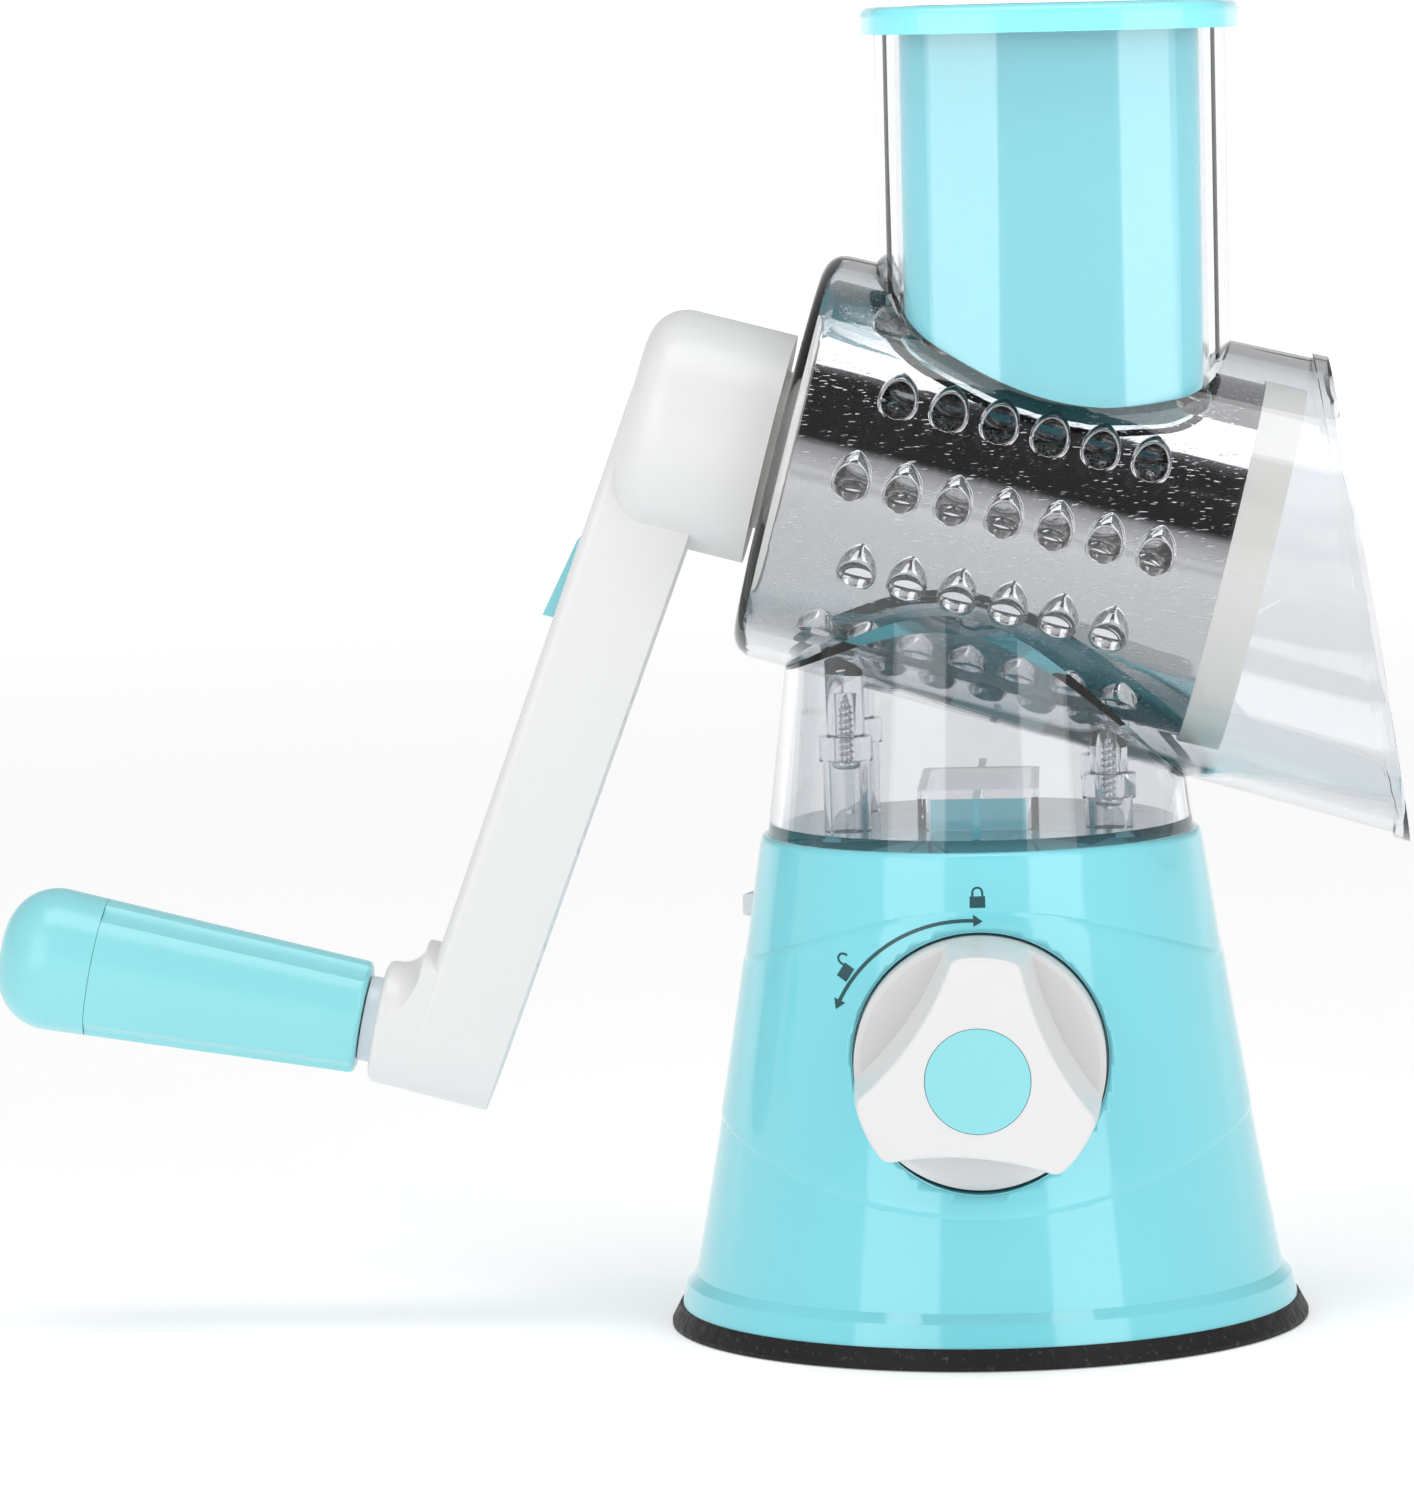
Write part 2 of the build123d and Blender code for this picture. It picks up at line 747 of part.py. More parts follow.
with BuildPart() as stand:
    add(stand_solid(0))
    add(stand_hollow.part, mode=Mode.SUBTRACT)
    # socket over the dock, with ribs out to the wall
    socket_z = deck_z + dock_height + seat_gap
    with BuildSketch(Plane.XY.offset(deck_z)):
        RectangleRounded(
            dock_length + 2 * socket_wall + 2 * seat_gap,
            dock_depth + 2 * socket_wall + 2 * seat_gap,
            dock_round,
        )
    extrude(amount=dock_height + socket_top)
    with BuildSketch(Plane.XY.offset(deck_z)):
        RectangleRounded(dock_length + 2 * seat_gap, dock_depth + 2 * seat_gap, dock_round)
    extrude(amount=dock_height + seat_gap, mode=Mode.SUBTRACT)
    for side in (-1, 1):
        rib_start = dock_depth / 2 + seat_gap + socket_wall / 2
        rib_end = stand_radius - stand_wall
        with BuildSketch(Plane.XY.offset(deck_z + stand_floor)):
            with Locations((0, side * (rib_start + rib_end) / 2)):
                Rectangle(stand_rib, rib_end - rib_start)
        extrude(amount=dock_height)
    # posts with a collar that each screw pulls against
    for x, y, seat_z in post_places:
        with BuildSketch(Plane.XY.offset(deck_z)):
            with Locations((x, y)):
                Circle(post_radius)
        extrude(amount=seat_z + collar_height - deck_z)
        with BuildSketch(Plane.XY.offset(seat_z)):
            with Locations((x, y)):
                Circle(collar_radius)
        extrude(amount=collar_height)
        with BuildSketch(Plane.XY.offset(deck_z)):
            with Locations((x, y)):
                Circle(screw_head_radius + running_gap)
        extrude(amount=seat_z - deck_z, mode=Mode.SUBTRACT)
        with BuildSketch(Plane.XY.offset(seat_z)):
            with Locations((x, y)):
                Circle(screw_radius + running_gap)
        extrude(amount=collar_height, mode=Mode.SUBTRACT)
    add(stand_cut, mode=Mode.SUBTRACT)
    # tab that the latch's nose hooks into
    with BuildSketch(latch_plane(deck_z - tab_drop)):
        with Locations((tab_radius + tab_thickness / 2, 0)):
            Rectangle(tab_thickness, tab_width)
    extrude(amount=tab_drop + stand_floor)
    with BuildSketch(latch_plane(nose_z - running_gap)):
        with Locations((tab_radius + tab_thickness / 2, 0)):
            Rectangle(2 * tab_thickness, catch_width + 2 * running_gap)
    extrude(amount=nose_height + 2 * running_gap, mode=Mode.SUBTRACT)
export(stand, "stand")

with BuildPart() as stand_screws:
    for x, y, seat_z in post_places:
        with BuildSketch(Plane.XY.offset(seat_z)):
            with Locations((x, y)):
                Circle(screw_radius)
        extrude(amount=screw_length)
        with BuildSketch(Plane.XY.offset(seat_z - screw_head)):
            with Locations((x, y)):
                Circle(screw_head_radius)
        extrude(amount=screw_head)
export(stand_screws, "stand_screws")

# ---------------------------------------------------------------- barrel with chute and outlet
mouth_rise = barrel_radius_at(mouth_top_s) + barrel_radius_at(mouth_bottom_s)
mouth_run = mouth_bottom_s - mouth_top_s
mouth_normal = axis_dir * mouth_rise + up_dir * mouth_run
mouth_plane = Plane(
    origin=at(mouth_top_s, barrel_radius_at(mouth_top_s)), x_dir=(0, 1, 0), z_dir=mouth_normal
)
bore_start = barrel_start + barrel_wall

with BuildPart() as mouth_band:
    add(barrel_solid(barrel_start, mouth_bottom_s + mouth_bead, mouth_bead_proud))
    split(bisect_by=mouth_plane, keep=Keep.BOTTOM)
    split(bisect_by=mouth_plane.offset(-mouth_bead), keep=Keep.TOP)

with BuildPart() as barrel_housing:
    add(barrel_solid(barrel_start, mouth_bottom_s + mouth_bead, 0))
    fillet(barrel_housing.edges().sort_by(drum_axis)[0], barrel_round)
    split(bisect_by=mouth_plane, keep=Keep.BOTTOM)
    add(mouth_band.part)
    add(chute_prism(0, axis_z, chute_top_z))
    for x, y, seat_z in post_places:
        with BuildSketch(Plane.XY.offset(seat_z + collar_height)):
            with Locations((x, y)):
                Circle(boss_radius)
        extrude(amount=axis_z - post_y - seat_z - collar_height)
    add(barrel_solid(bore_start, mouth_bottom_s + mouth_bead, -barrel_wall), mode=Mode.SUBTRACT)
    add(chute_prism(chute_wall, axis_z - post_y / 2, chute_top_z), mode=Mode.SUBTRACT)
    with BuildSketch(cross_plane(barrel_start)):
        Circle(collar_journal_radius + running_gap)
    extrude(amount=barrel_wall, mode=Mode.SUBTRACT)
    for x, y, seat_z in post_places:
        with BuildSketch(Plane.XY.offset(seat_z + collar_height)):
            with Locations((x, y)):
                Circle(screw_radius + seat_gap)
        extrude(amount=screw_length - collar_height + running_gap, mode=Mode.SUBTRACT)
export(barrel_housing, "barrel_housing")

# ---------------------------------------------------------------- pusher
pusher_inset = chute_wall + pusher_gap
pusher_floor = axis_z - post_y / 2
pusher_core = chute_prism(pusher_inset, pusher_floor, chute_top_z)
with BuildPart() as pusher_hollow:
    add(chute_prism(pusher_inset + pusher_wall, pusher_floor, chute_top_z + rim_height))
    add(drum_cylinder(pusher_bottom_radius + pusher_wall), mode=Mode.SUBTRACT)
    split(bisect_by=Plane.XY.offset(axis_z), keep=Keep.TOP)

with BuildPart() as food_pusher:
    add(chute_prism(-rim_overhang, chute_top_z, chute_top_z + rim_height))
    fillet(food_pusher.faces().sort_by(Axis.Z)[-1].edges(), rim_round)
    add(pusher_core)
    add(drum_cylinder(pusher_bottom_radius), mode=Mode.SUBTRACT)
    add(pusher_hollow.part, mode=Mode.SUBTRACT)
export(food_pusher, "food_pusher")

# ---------------------------------------------------------------- drum
sphere_center = sleeve_radius + tooth_height - tooth_sphere


def tooth_places():
    """Frames of all teeth: local z points out, local y away from the tooth's mouth."""
    places = []
    for row in range(tooth_rows):
        long_row = row % 2 == 1
        count = teeth_long_row if long_row else teeth_long_row - 1
        first = sleeve_start + (long_row_start if long_row else short_row_start)
        angle = radians(first_row_angle + row * row_spacing)
        out = up_dir * cos(angle) + Vector(0, -1, 0) * sin(angle)
        for tooth in range(count):
            origin = at(first + tooth * tooth_pitch, 0) + out * sphere_center
            places.append(Plane(origin=origin, x_dir=axis_dir, z_dir=out).location)
    return places


with BuildPart() as tooth_hood:
    Sphere(tooth_sphere)
    Sphere(tooth_sphere - tooth_wall, mode=Mode.SUBTRACT)
    split(bisect_by=Plane.XZ, keep=Keep.BOTTOM)
    split(bisect_by=Plane.XY.offset(sleeve_radius - sphere_center - sleeve_wall), keep=Keep.TOP)

with BuildPart() as drum_sleeve:
    with BuildSketch(cross_plane(sleeve_start)):
        Circle(sleeve_radius)
        Circle(sleeve_radius - sleeve_wall, mode=Mode.SUBTRACT)
    extrude(amount=sleeve_end - sleeve_start)
    with Locations(*tooth_places()):
        Sphere(tooth_sphere - tooth_wall / 2, mode=Mode.SUBTRACT)
    with Locations(*tooth_places()):
        add(tooth_hood.part)
export(drum_sleeve, "drum_sleeve")

journal_end = crank_face
with BuildPart() as drum_hub:
    with BuildSketch(side_plane):
        with BuildLine():
            Polyline(
                (sleeve_start + hub_floor, 0),
                (sleeve_start + hub_floor, sleeve_radius - 2 * sleeve_wall - hub_floor),
                (sleeve_start + hub_plug, sleeve_radius - 2 * sleeve_wall - hub_floor),
                (sleeve_start + hub_plug, sleeve_radius - sleeve_wall - seat_gap),
                (sleeve_start, sleeve_radius - sleeve_wall - seat_gap),
                (sleeve_start, sleeve_radius + sleeve_wall / 2),
                (sleeve_start - hub_disc, sleeve_radius + sleeve_wall / 2),
                (sleeve_start - hub_disc, collar_journal_radius),
                (journal_end, collar_journal_radius),
                (journal_end, tube_radius),
                (tube_end, tube_radius),
                (tube_end, tube_radius - tube_wall),
                (sleeve_start - hub_disc, tube_radius - tube_wall),
                (sleeve_start - hub_disc, 0),
                close=True,
            )
        make_face()
    revolve(axis=drum_axis)
    # square windows through both sides of the tube
    with BuildSketch(Plane(origin=at(0, 0), x_dir=axis_dir, z_dir=up_dir)):
        with Locations((catch_s + catch_thickness / 2, 0)):
            Rectangle(window_length, window_width)
    extrude(amount=2 * tube_radius, both=True, mode=Mode.SUBTRACT)
export(drum_hub, "drum_hub")

with BuildPart() as drum_ring:
    with BuildSketch(side_plane):
        with BuildLine():
            Polyline(
                (ring_start, sleeve_radius + seat_gap),
                (ring_start, ring_radius),
                (ring_end, ring_radius),
                (ring_end, ring_bore),
                (sleeve_end + seat_gap, ring_bore),
                (sleeve_end + seat_gap, sleeve_radius + seat_gap),
                close=True,
            )
        make_face()
    revolve(axis=drum_axis)
export(drum_ring, "drum_ring")

# ---------------------------------------------------------------- crank
outer_slope = tan(radians(crank_outer_lean))
inner_slope = tan(radians(crank_inner_lean))
seam_slope = tan(radians(crank_seam_lean))
arm_end = grip_r - arm_bottom_width / 2


def outer_face(r):
    """Place along the axis of the arm's outer face at r."""
    return crank_outer_s + r * outer_slope


def arm_prism(inset, start):
    """Prism of the arm's outline, drawn in by inset, from start to the crank's inner face."""
    with BuildPart() as prism:
        with BuildSketch(cross_plane(start)):
            Circle(arm_top_width / 2 - inset)
            with Locations((grip_r, 0)):
                Circle(arm_bottom_width / 2 - inset)
            make_hull()
        extrude(amount=crank_face - start)
    return prism.part


def crank_solid(inset):
    """Solid of the whole crank without its grip boss, drawn in by inset."""
    high = arm_top_width
    low = arm_end - inset
    with BuildPart() as arm:
        add(arm_prism(inset, outer_face(arm_end)))
        with BuildSketch(side_plane):
            with BuildLine():
                Polyline(
                    (outer_face(high) + inset, high),
                    (outer_face(low) + inset, low),
                    (crank_inner_s + low * inner_slope - inset, low),
                    (crank_inner_s + high * inner_slope - inset, high),
                    close=True,
                )
            make_face()
        extrude(amount=arm_top_width, both=True, mode=Mode.INTERSECT)
        if inset < crank_edge:
            outer_side = arm.faces().filter_by(GeomType.PLANE).sort_by(drum_axis)[0]
            fillet(outer_side.edges(), crank_edge - inset)
    with BuildPart() as solid:
        top = crank_hub_radius - inset
        cover = crank_hub_s + inset
        bend = crank_hub_round - inset
        with BuildSketch(side_plane):
            with BuildLine():
                Polyline(
                    (cover, top - bend),
                    (cover, 0),
                    (crank_face - inset, 0),
                    (crank_face - inset, top),
                    (cover + bend, top),
                )
                RadiusArc((cover, top - bend), (cover + bend, top), bend)
            make_face()
        revolve(axis=drum_axis)
        add(arm.part)
    return solid.part


grip_turn = radians(axis_dip) - radians(grip_splay)
grip_dir = Vector(-cos(grip_turn), 0, sin(grip_turn))
grip_up = Vector(sin(grip_turn), 0, cos(grip_turn))
grip_origin = at(grip_s, grip_r)
grip_axis = Axis(grip_origin, grip_dir)
grip_side = Plane(origin=grip_origin, x_dir=grip_dir, z_dir=(0, 1, 0))


def grip_plane(distance):
    """Plane square to the grip's axis, this far out from its inner end."""
    return Plane(origin=grip_origin + grip_dir * distance, x_dir=(0, 1, 0), z_dir=grip_dir)


seam_plane = Plane(
    origin=at(crank_seam_s, 0), x_dir=(0, 1, 0), z_dir=axis_dir - up_dir * seam_slope
)
boss_face = -grip_boss_length - collar_ring_width
catch_spring_length = catch_spring_solid + button_travel
crank_hollow = crank_solid(crank_wall)
crank_body = crank_solid(0)

# round boss that carries the grip, kept to the arm's outline, with a hollow where it runs out
flare_start = grip_s - outer_face(grip_r) + grip_boss_flare
with BuildPart() as grip_boss:
    with BuildSketch(grip_side):
        with BuildLine():
            TangentArc(
                (boss_face, grip_boss_radius - grip_boss_edge),
                (boss_face - grip_boss_edge, grip_boss_radius),
                tangent=(0, 1),
            )
            Line((boss_face - grip_boss_edge, grip_boss_radius), (flare_start, grip_boss_radius))
            TangentArc(
                (flare_start, grip_boss_radius),
                (flare_start - grip_boss_flare, grip_boss_radius + grip_boss_flare),
                tangent=(-1, 0),
            )
            Polyline(
                (flare_start - grip_boss_flare, grip_boss_radius + grip_boss_flare),
                (-axle_inside, grip_boss_radius + grip_boss_flare),
                (-axle_inside, 0),
                (boss_face, 0),
                (boss_face, grip_boss_radius - grip_boss_edge),
            )
        make_face()
    revolve(axis=grip_axis)
    add(arm_prism(seat_gap, grip_s), mode=Mode.INTERSECT)

with BuildPart() as crank_outer_shell:
    add(crank_body)
    add(grip_boss.part)
    add(crank_hollow, mode=Mode.SUBTRACT)
    split(bisect_by=seam_plane, keep=Keep.BOTTOM)
    # posts for the screws
    for place in crank_screw_places:
        post_end = crank_seam_s + place * seam_slope
        with BuildSketch(Plane(origin=at(post_end, place), x_dir=up_dir, z_dir=axis_dir * -1)):
            Circle(crank_post_radius)
        extrude(amount=post_end - outer_face(place) - crank_wall / 2)
        with BuildSketch(Plane(origin=at(post_end, place), x_dir=up_dir, z_dir=axis_dir * -1)):
            Circle(screw_radius + seat_gap)
        extrude(amount=post_end - outer_face(place) - crank_wall, mode=Mode.SUBTRACT)
    # solid root of the boss, with the axle's bore
    root_face = boss_face - grip_boss_edge
    with BuildSketch(grip_plane(root_face)):
        Circle(grip_boss_radius - grip_boss_edge)
    extrude(amount=-(axle_inside + root_face - axle_head))
    split(bisect_by=seam_plane, keep=Keep.BOTTOM)
    with BuildSketch(grip_plane(boss_face)):
        Circle(axle_radius + seat_gap)
    extrude(amount=-2 * axle_inside, mode=Mode.SUBTRACT)
    # window for the button
    with BuildSketch(Plane(origin=at(0, 0), x_dir=up_dir, z_dir=axis_dir * -1)):
        with Locations(((button_top + button_bottom) / 2, 0)):
            Rectangle(button_top - button_bottom + 2 * running_gap, button_width + 2 * running_gap)
    extrude(amount=-outer_face(arm_end), mode=Mode.SUBTRACT)
export(crank_outer_shell, "crank_outer_shell")

with BuildPart() as crank_inner_shell:
    add(crank_body)
    add(crank_hollow, mode=Mode.SUBTRACT)
    # socket for the drum's tube
    with BuildSketch(cross_plane(crank_face)):
        Circle(socket_radius)
    extrude(amount=socket_end - crank_face)
    with BuildSketch(cross_plane(crank_face)):
        Circle(tube_radius + seat_gap)
    extrude(amount=socket_end - crank_face, mode=Mode.SUBTRACT)
    split(bisect_by=seam_plane, keep=Keep.TOP)
    # window that the catch reaches through, and the seat of its spring
    with BuildSketch(Plane(origin=at(0, 0), x_dir=axis_dir, z_dir=up_dir * -1)):
        with Locations((catch_s + catch_thickness / 2, 0)):
            Rectangle(window_length, window_width)
    extrude(amount=crank_hub_radius - crank_wall, mode=Mode.SUBTRACT)
    seat_r = catch_bottom - catch_spring_length
    seat_end = crank_inner_s + seat_r * inner_slope - crank_wall / 2
    with BuildSketch(Plane(origin=at(0, seat_r), x_dir=axis_dir, z_dir=up_dir * -1)):
        with Locations(((catch_s + seat_end) / 2, 0)):
            Rectangle(seat_end - catch_s, catch_seat_width)
    extrude(amount=catch_seat_depth)
    for place in crank_screw_places:
        post_end = crank_seam_s + place * seam_slope
        seat = crank_inner_s + place * inner_slope - screw_head
        with BuildSketch(Plane(origin=at(post_end, place), x_dir=up_dir, z_dir=axis_dir)):
            Circle(crank_post_radius)
        extrude(amount=seat - post_end)
        with BuildSketch(Plane(origin=at(post_end, place), x_dir=up_dir, z_dir=axis_dir)):
            Circle(screw_radius + seat_gap)
        extrude(amount=seat - post_end, mode=Mode.SUBTRACT)
        with BuildSketch(Plane(origin=at(seat, place), x_dir=up_dir, z_dir=axis_dir)):
            Circle(screw_head_radius + running_gap)
        extrude(amount=2 * screw_head, mode=Mode.SUBTRACT)
export(crank_inner_shell, "crank_inner_shell")

with BuildPart() as crank_screws:
    for place in crank_screw_places:
        seat = crank_inner_s + place * inner_slope - screw_head
        with BuildSketch(Plane(origin=at(seat, place), x_dir=up_dir, z_dir=axis_dir)):
            Circle(screw_head_radius)
        extrude(amount=screw_head)
        with BuildSketch(Plane(origin=at(seat, place), x_dir=up_dir, z_dir=axis_dir)):
            Circle(screw_radius)
        extrude(amount=-crank_screw_length)
export(crank_screws, "crank_screws")

# ---------------------------------------------------------------- grip
head_seat = grip_split - axle_head

with BuildPart() as grip_axle:
    with BuildSketch(grip_plane(-axle_inside)):
        Circle(axle_radius)
    extrude(amount=axle_inside + head_seat)
    with BuildSketch(grip_plane(head_seat + running_gap)):
        Circle(axle_head_radius)
    extrude(amount=axle_head)
    with BuildSketch(grip_plane(head_seat)):
        Circle(axle_radius)
    extrude(amount=running_gap)
    with BuildSketch(grip_plane(-axle_inside)):
        Circle(axle_head_radius)
    extrude(amount=axle_head - running_gap)
export(grip_axle, "grip_axle")

with BuildPart() as axle_collar:
    with BuildSketch(grip_plane(boss_face)):
        Circle(collar_ring_radius)
        Circle(axle_radius + seat_gap, mode=Mode.SUBTRACT)
    extrude(amount=-boss_face - running_gap)
export(axle_collar, "axle_collar")


def grip_radius(distance):
    return grip_inner_radius + (grip_outer_radius - grip_inner_radius) * distance / grip_widest


with BuildPart() as grip_body:
    with BuildSketch(grip_side):
        with BuildLine():
            Polyline(
                (0, axle_radius + running_gap),
                (0, grip_radius(0)),
                (grip_split, grip_radius(grip_split)),
                (grip_split, axle_head_radius + running_gap),
                (head_seat, axle_head_radius + running_gap),
                (head_seat, axle_radius + running_gap),
                close=True,
            )
        make_face()
    revolve(axis=grip_axis)
    inner_end = grip_body.faces().sort_by(grip_axis)[0]
    fillet(inner_end.edges().sort_by(SortBy.RADIUS)[-1], flute_depth * 2)
    # shallow flutes along the fingers' part
    flute_radius = (flute_width**2 / 4 + flute_depth**2) / (2 * flute_depth)
    for flute in range(flute_count):
        turn = radians(flute * 360 / flute_count)
        away = Vector(0, cos(turn), 0) + grip_up * sin(turn)
        clear_of = flute_radius - flute_depth
        near = grip_origin + away * (grip_radius(0) + clear_of)
        far = grip_origin + grip_dir * grip_split + away * (grip_radius(grip_split) + clear_of)
        with BuildSketch(Plane(origin=near, x_dir=(0, 1, 0), z_dir=far - near)):
            Circle(flute_radius)
        extrude(amount=grip_split + flute_depth, mode=Mode.SUBTRACT)
export(grip_body, "grip_body")

with BuildPart() as grip_end_cap:
    with BuildSketch(grip_side):
        with BuildLine():
            Line((grip_split + seat_gap, 0), (grip_split + seat_gap, grip_radius(grip_split)))
            Line((grip_split + seat_gap, grip_radius(grip_split)), (grip_widest, grip_outer_radius))
            ThreePointArc(
                (grip_widest, grip_outer_radius),
                (
                    grip_widest + (grip_length - grip_widest) * sin(radians(45)),
                    grip_outer_radius - grip_dome + grip_dome * cos(radians(45)),
                ),
                (grip_length, grip_outer_radius - grip_dome),
            )
            Line((grip_length, grip_outer_radius - grip_dome), (grip_length, 0))
            Line((grip_length, 0), (grip_split + seat_gap, 0))
        make_face()
    revolve(axis=grip_axis)
    with BuildSketch(grip_plane(grip_split)):
        Circle(axle_head_radius + running_gap)
    extrude(amount=grip_wall, mode=Mode.SUBTRACT)
export(grip_end_cap, "grip_end_cap")

# ---------------------------------------------------------------- button and catch
ramp_gap = running_gap * sqrt(2)
button_inner = catch_s - button_travel - running_gap
ramp_foot = catch_ramp_top - catch_ramp

flange_gap = crank_wall + running_gap
with BuildPart() as release_button:
    with BuildSketch(side_plane):
        with BuildLine():
            Polyline(
                (outer_face(button_top) - button_proud_top, button_top),
                (outer_face(button_bottom) - button_proud_bottom, button_bottom),
                (outer_face(button_bottom) + crank_wall + button_flange, button_bottom),
                (outer_face(button_top) + crank_wall + button_flange, button_top),
                close=True,
            )
        make_face()
    extrude(amount=button_width / 2, both=True)
    with BuildSketch(side_plane):
        with BuildLine():
            Polyline(
                (outer_face(button_top) + flange_gap, button_top + button_flange),
                (outer_face(button_bottom) + flange_gap, button_bottom - button_flange),
                (outer_face(button_bottom) + flange_gap + button_flange, button_bottom - button_flange),
                (outer_face(button_top) + flange_gap + button_flange, button_top + button_flange),
                close=True,
            )
        make_face()
    extrude(amount=button_width / 2 + button_flange, both=True)
    # wedge that pushes the catch down
    wedge_top = catch_ramp_top + running_gap
    with BuildSketch(side_plane):
        with BuildLine():
            Polyline(
                (outer_face(button_top), wedge_top),
                (button_inner, wedge_top),
                (button_inner, catch_ramp_top + button_inner - catch_s + ramp_gap),
                (catch_s - catch_ramp + ramp_gap / 2, ramp_foot + ramp_gap * 1.5),
                (outer_face(button_top), ramp_foot + ramp_gap * 1.5),
                close=True,
            )
        make_face()
    extrude(amount=catch_width / 2, both=True)
export(release_button, "release_button")

with BuildPart() as coupling_catch:
    with BuildSketch(side_plane):
        with BuildLine():
            Polyline(
                (catch_s, catch_tip),
                (catch_s, catch_ramp_top),
                (catch_s - catch_ramp, ramp_foot),
                (catch_s - catch_ramp, catch_bottom),
                (catch_s + catch_thickness, catch_bottom),
                (catch_s + catch_thickness, catch_tip),
                close=True,
            )
        make_face()
    extrude(amount=catch_width / 2, both=True)
export(coupling_catch, "coupling_catch")

catch_coil = coil(
    Plane(origin=at(catch_s + catch_thickness / 2, catch_bottom - catch_spring_length), z_dir=up_dir),
    catch_spring_radius,
    catch_spring_wire,
    catch_spring_length,
    spring_turns,
)
with BuildPart() as catch_spring:
    add(catch_coil)
export(catch_spring, "catch_spring")
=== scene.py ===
"""Looks of the hand-cranked drum grater: finishes, fine pieces, light and camera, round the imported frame.

Lengths are millimetres up to the point where a mesh is made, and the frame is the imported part's: origin
on the table under the base, +X towards the outlet, -Y towards the knob, +Z up. Lights, world, floor and
camera are in metres.
"""

from math import asin, cos, pi, radians, sin, sqrt

import bmesh
import bpy
from mathutils import Matrix, Vector


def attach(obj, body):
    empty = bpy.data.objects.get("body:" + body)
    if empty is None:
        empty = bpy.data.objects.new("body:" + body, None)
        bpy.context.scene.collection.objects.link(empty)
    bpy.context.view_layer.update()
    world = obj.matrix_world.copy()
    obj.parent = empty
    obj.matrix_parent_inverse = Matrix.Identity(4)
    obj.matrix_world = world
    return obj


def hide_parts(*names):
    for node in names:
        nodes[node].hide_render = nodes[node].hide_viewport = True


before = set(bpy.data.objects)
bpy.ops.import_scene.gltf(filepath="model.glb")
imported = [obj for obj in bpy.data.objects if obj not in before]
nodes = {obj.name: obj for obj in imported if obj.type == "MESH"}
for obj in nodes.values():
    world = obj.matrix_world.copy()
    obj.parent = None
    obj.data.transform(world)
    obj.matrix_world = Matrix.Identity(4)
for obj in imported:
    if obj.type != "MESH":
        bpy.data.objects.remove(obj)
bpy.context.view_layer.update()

MM = 0.001

# ---------------------------------------------------------------- the frame's main places (mm)
axis_origin = Vector((0, 0, 162.0))
axis_dip = radians(15)
axis_dir = Vector((cos(axis_dip), 0, -sin(axis_dip)))
up_dir = Vector((sin(axis_dip), 0, cos(axis_dip)))
front_dir = Vector((0, -1, 0))

skirt_z, skirt_radius = 10.2, 58.0
deck_z, deck_radius = 97.0, 43.3
skirt_hollow = 0.5
knob_z = 57.3


def at(s, r=0.0, front=0.0):
    """World point at s along the drum's axis, r above it and this far in front of it."""
    return axis_origin + axis_dir * s + up_dir * r + front_dir * front


# ---------------------------------------------------------------- mesh helpers
def piece(name, mesh, body, finish, smooth=True):
    """Object for a bmesh drawn in millimetres, riding on a body of the frame."""
    bmesh.ops.scale(mesh, vec=(MM, MM, MM), verts=mesh.verts)
    data = bpy.data.meshes.new(name)
    mesh.to_mesh(data)
    mesh.free()
    if smooth:
        data.shade_smooth()
    data.materials.append(finish)
    made = bpy.data.objects.new(name, data)
    bpy.context.scene.collection.objects.link(made)
    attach(made, body)
    return made


def apply_modifier(made, kind, **settings):
    """Adds a modifier to a piece and applies it."""
    modifier = made.modifiers.new(kind.lower(), kind)
    for key, value in settings.items():
        setattr(modifier, key, value)
    graph = bpy.context.evaluated_depsgraph_get()
    data = bpy.data.meshes.new_from_object(made.evaluated_get(graph))
    made.modifiers.clear()
    made.data = data
    return made


def grid_faces(mesh, rows, close=False):
    """Quads between neighbouring rows of vertices, and round each row if it is closed."""
    for near, far in zip(rows, rows[1:]):
        count = len(near)
        for i in range(count if close else count - 1):
            j = (i + 1) % count
            corners = [near[i], near[j], far[j], far[i]]
            if len(set(corners)) == 4:
                mesh.faces.new(corners)


# ---------------------------------------------------------------- finishes
def finish(name, colour, roughness, metallic=0.0, **sockets):
    """Principled material, its tree and its shader node."""
    made = bpy.data.materials.new(name)
    made.use_nodes = True
    tree = made.node_tree
    shader = tree.nodes["Principled BSDF"]
    shader.inputs["Base Color"].default_value = (*colour, 1)
    shader.inputs["Roughness"].default_value = roughness
    shader.inputs["Metallic"].default_value = metallic
    for key, value in sockets.items():
        shader.inputs[key.replace("_", " ")].default_value = value
    return made, tree, shader


def place_of(tree, stretch=(1, 1, 1), turn=(0, 0, 0)):
    """Object coordinates, turned and stretched."""
    coordinates = tree.nodes.new("ShaderNodeTexCoord")
    mapping = tree.nodes.new("ShaderNodeMapping")
    mapping.inputs["Rotation"].default_value = turn
    mapping.inputs["Scale"].default_value = stretch
    tree.links.new(coordinates.outputs["Object"], mapping.inputs["Vector"])
    return mapping.outputs["Vector"]


def noise(tree, scale, detail=2.0, **place):
    """Noise of this many waves a metre."""
    made = tree.nodes.new("ShaderNodeTexNoise")
    made.inputs["Scale"].default_value = scale
    made.inputs["Detail"].default_value = detail
    tree.links.new(place_of(tree, **place), made.inputs["Vector"])
    return made.outputs["Fac"]


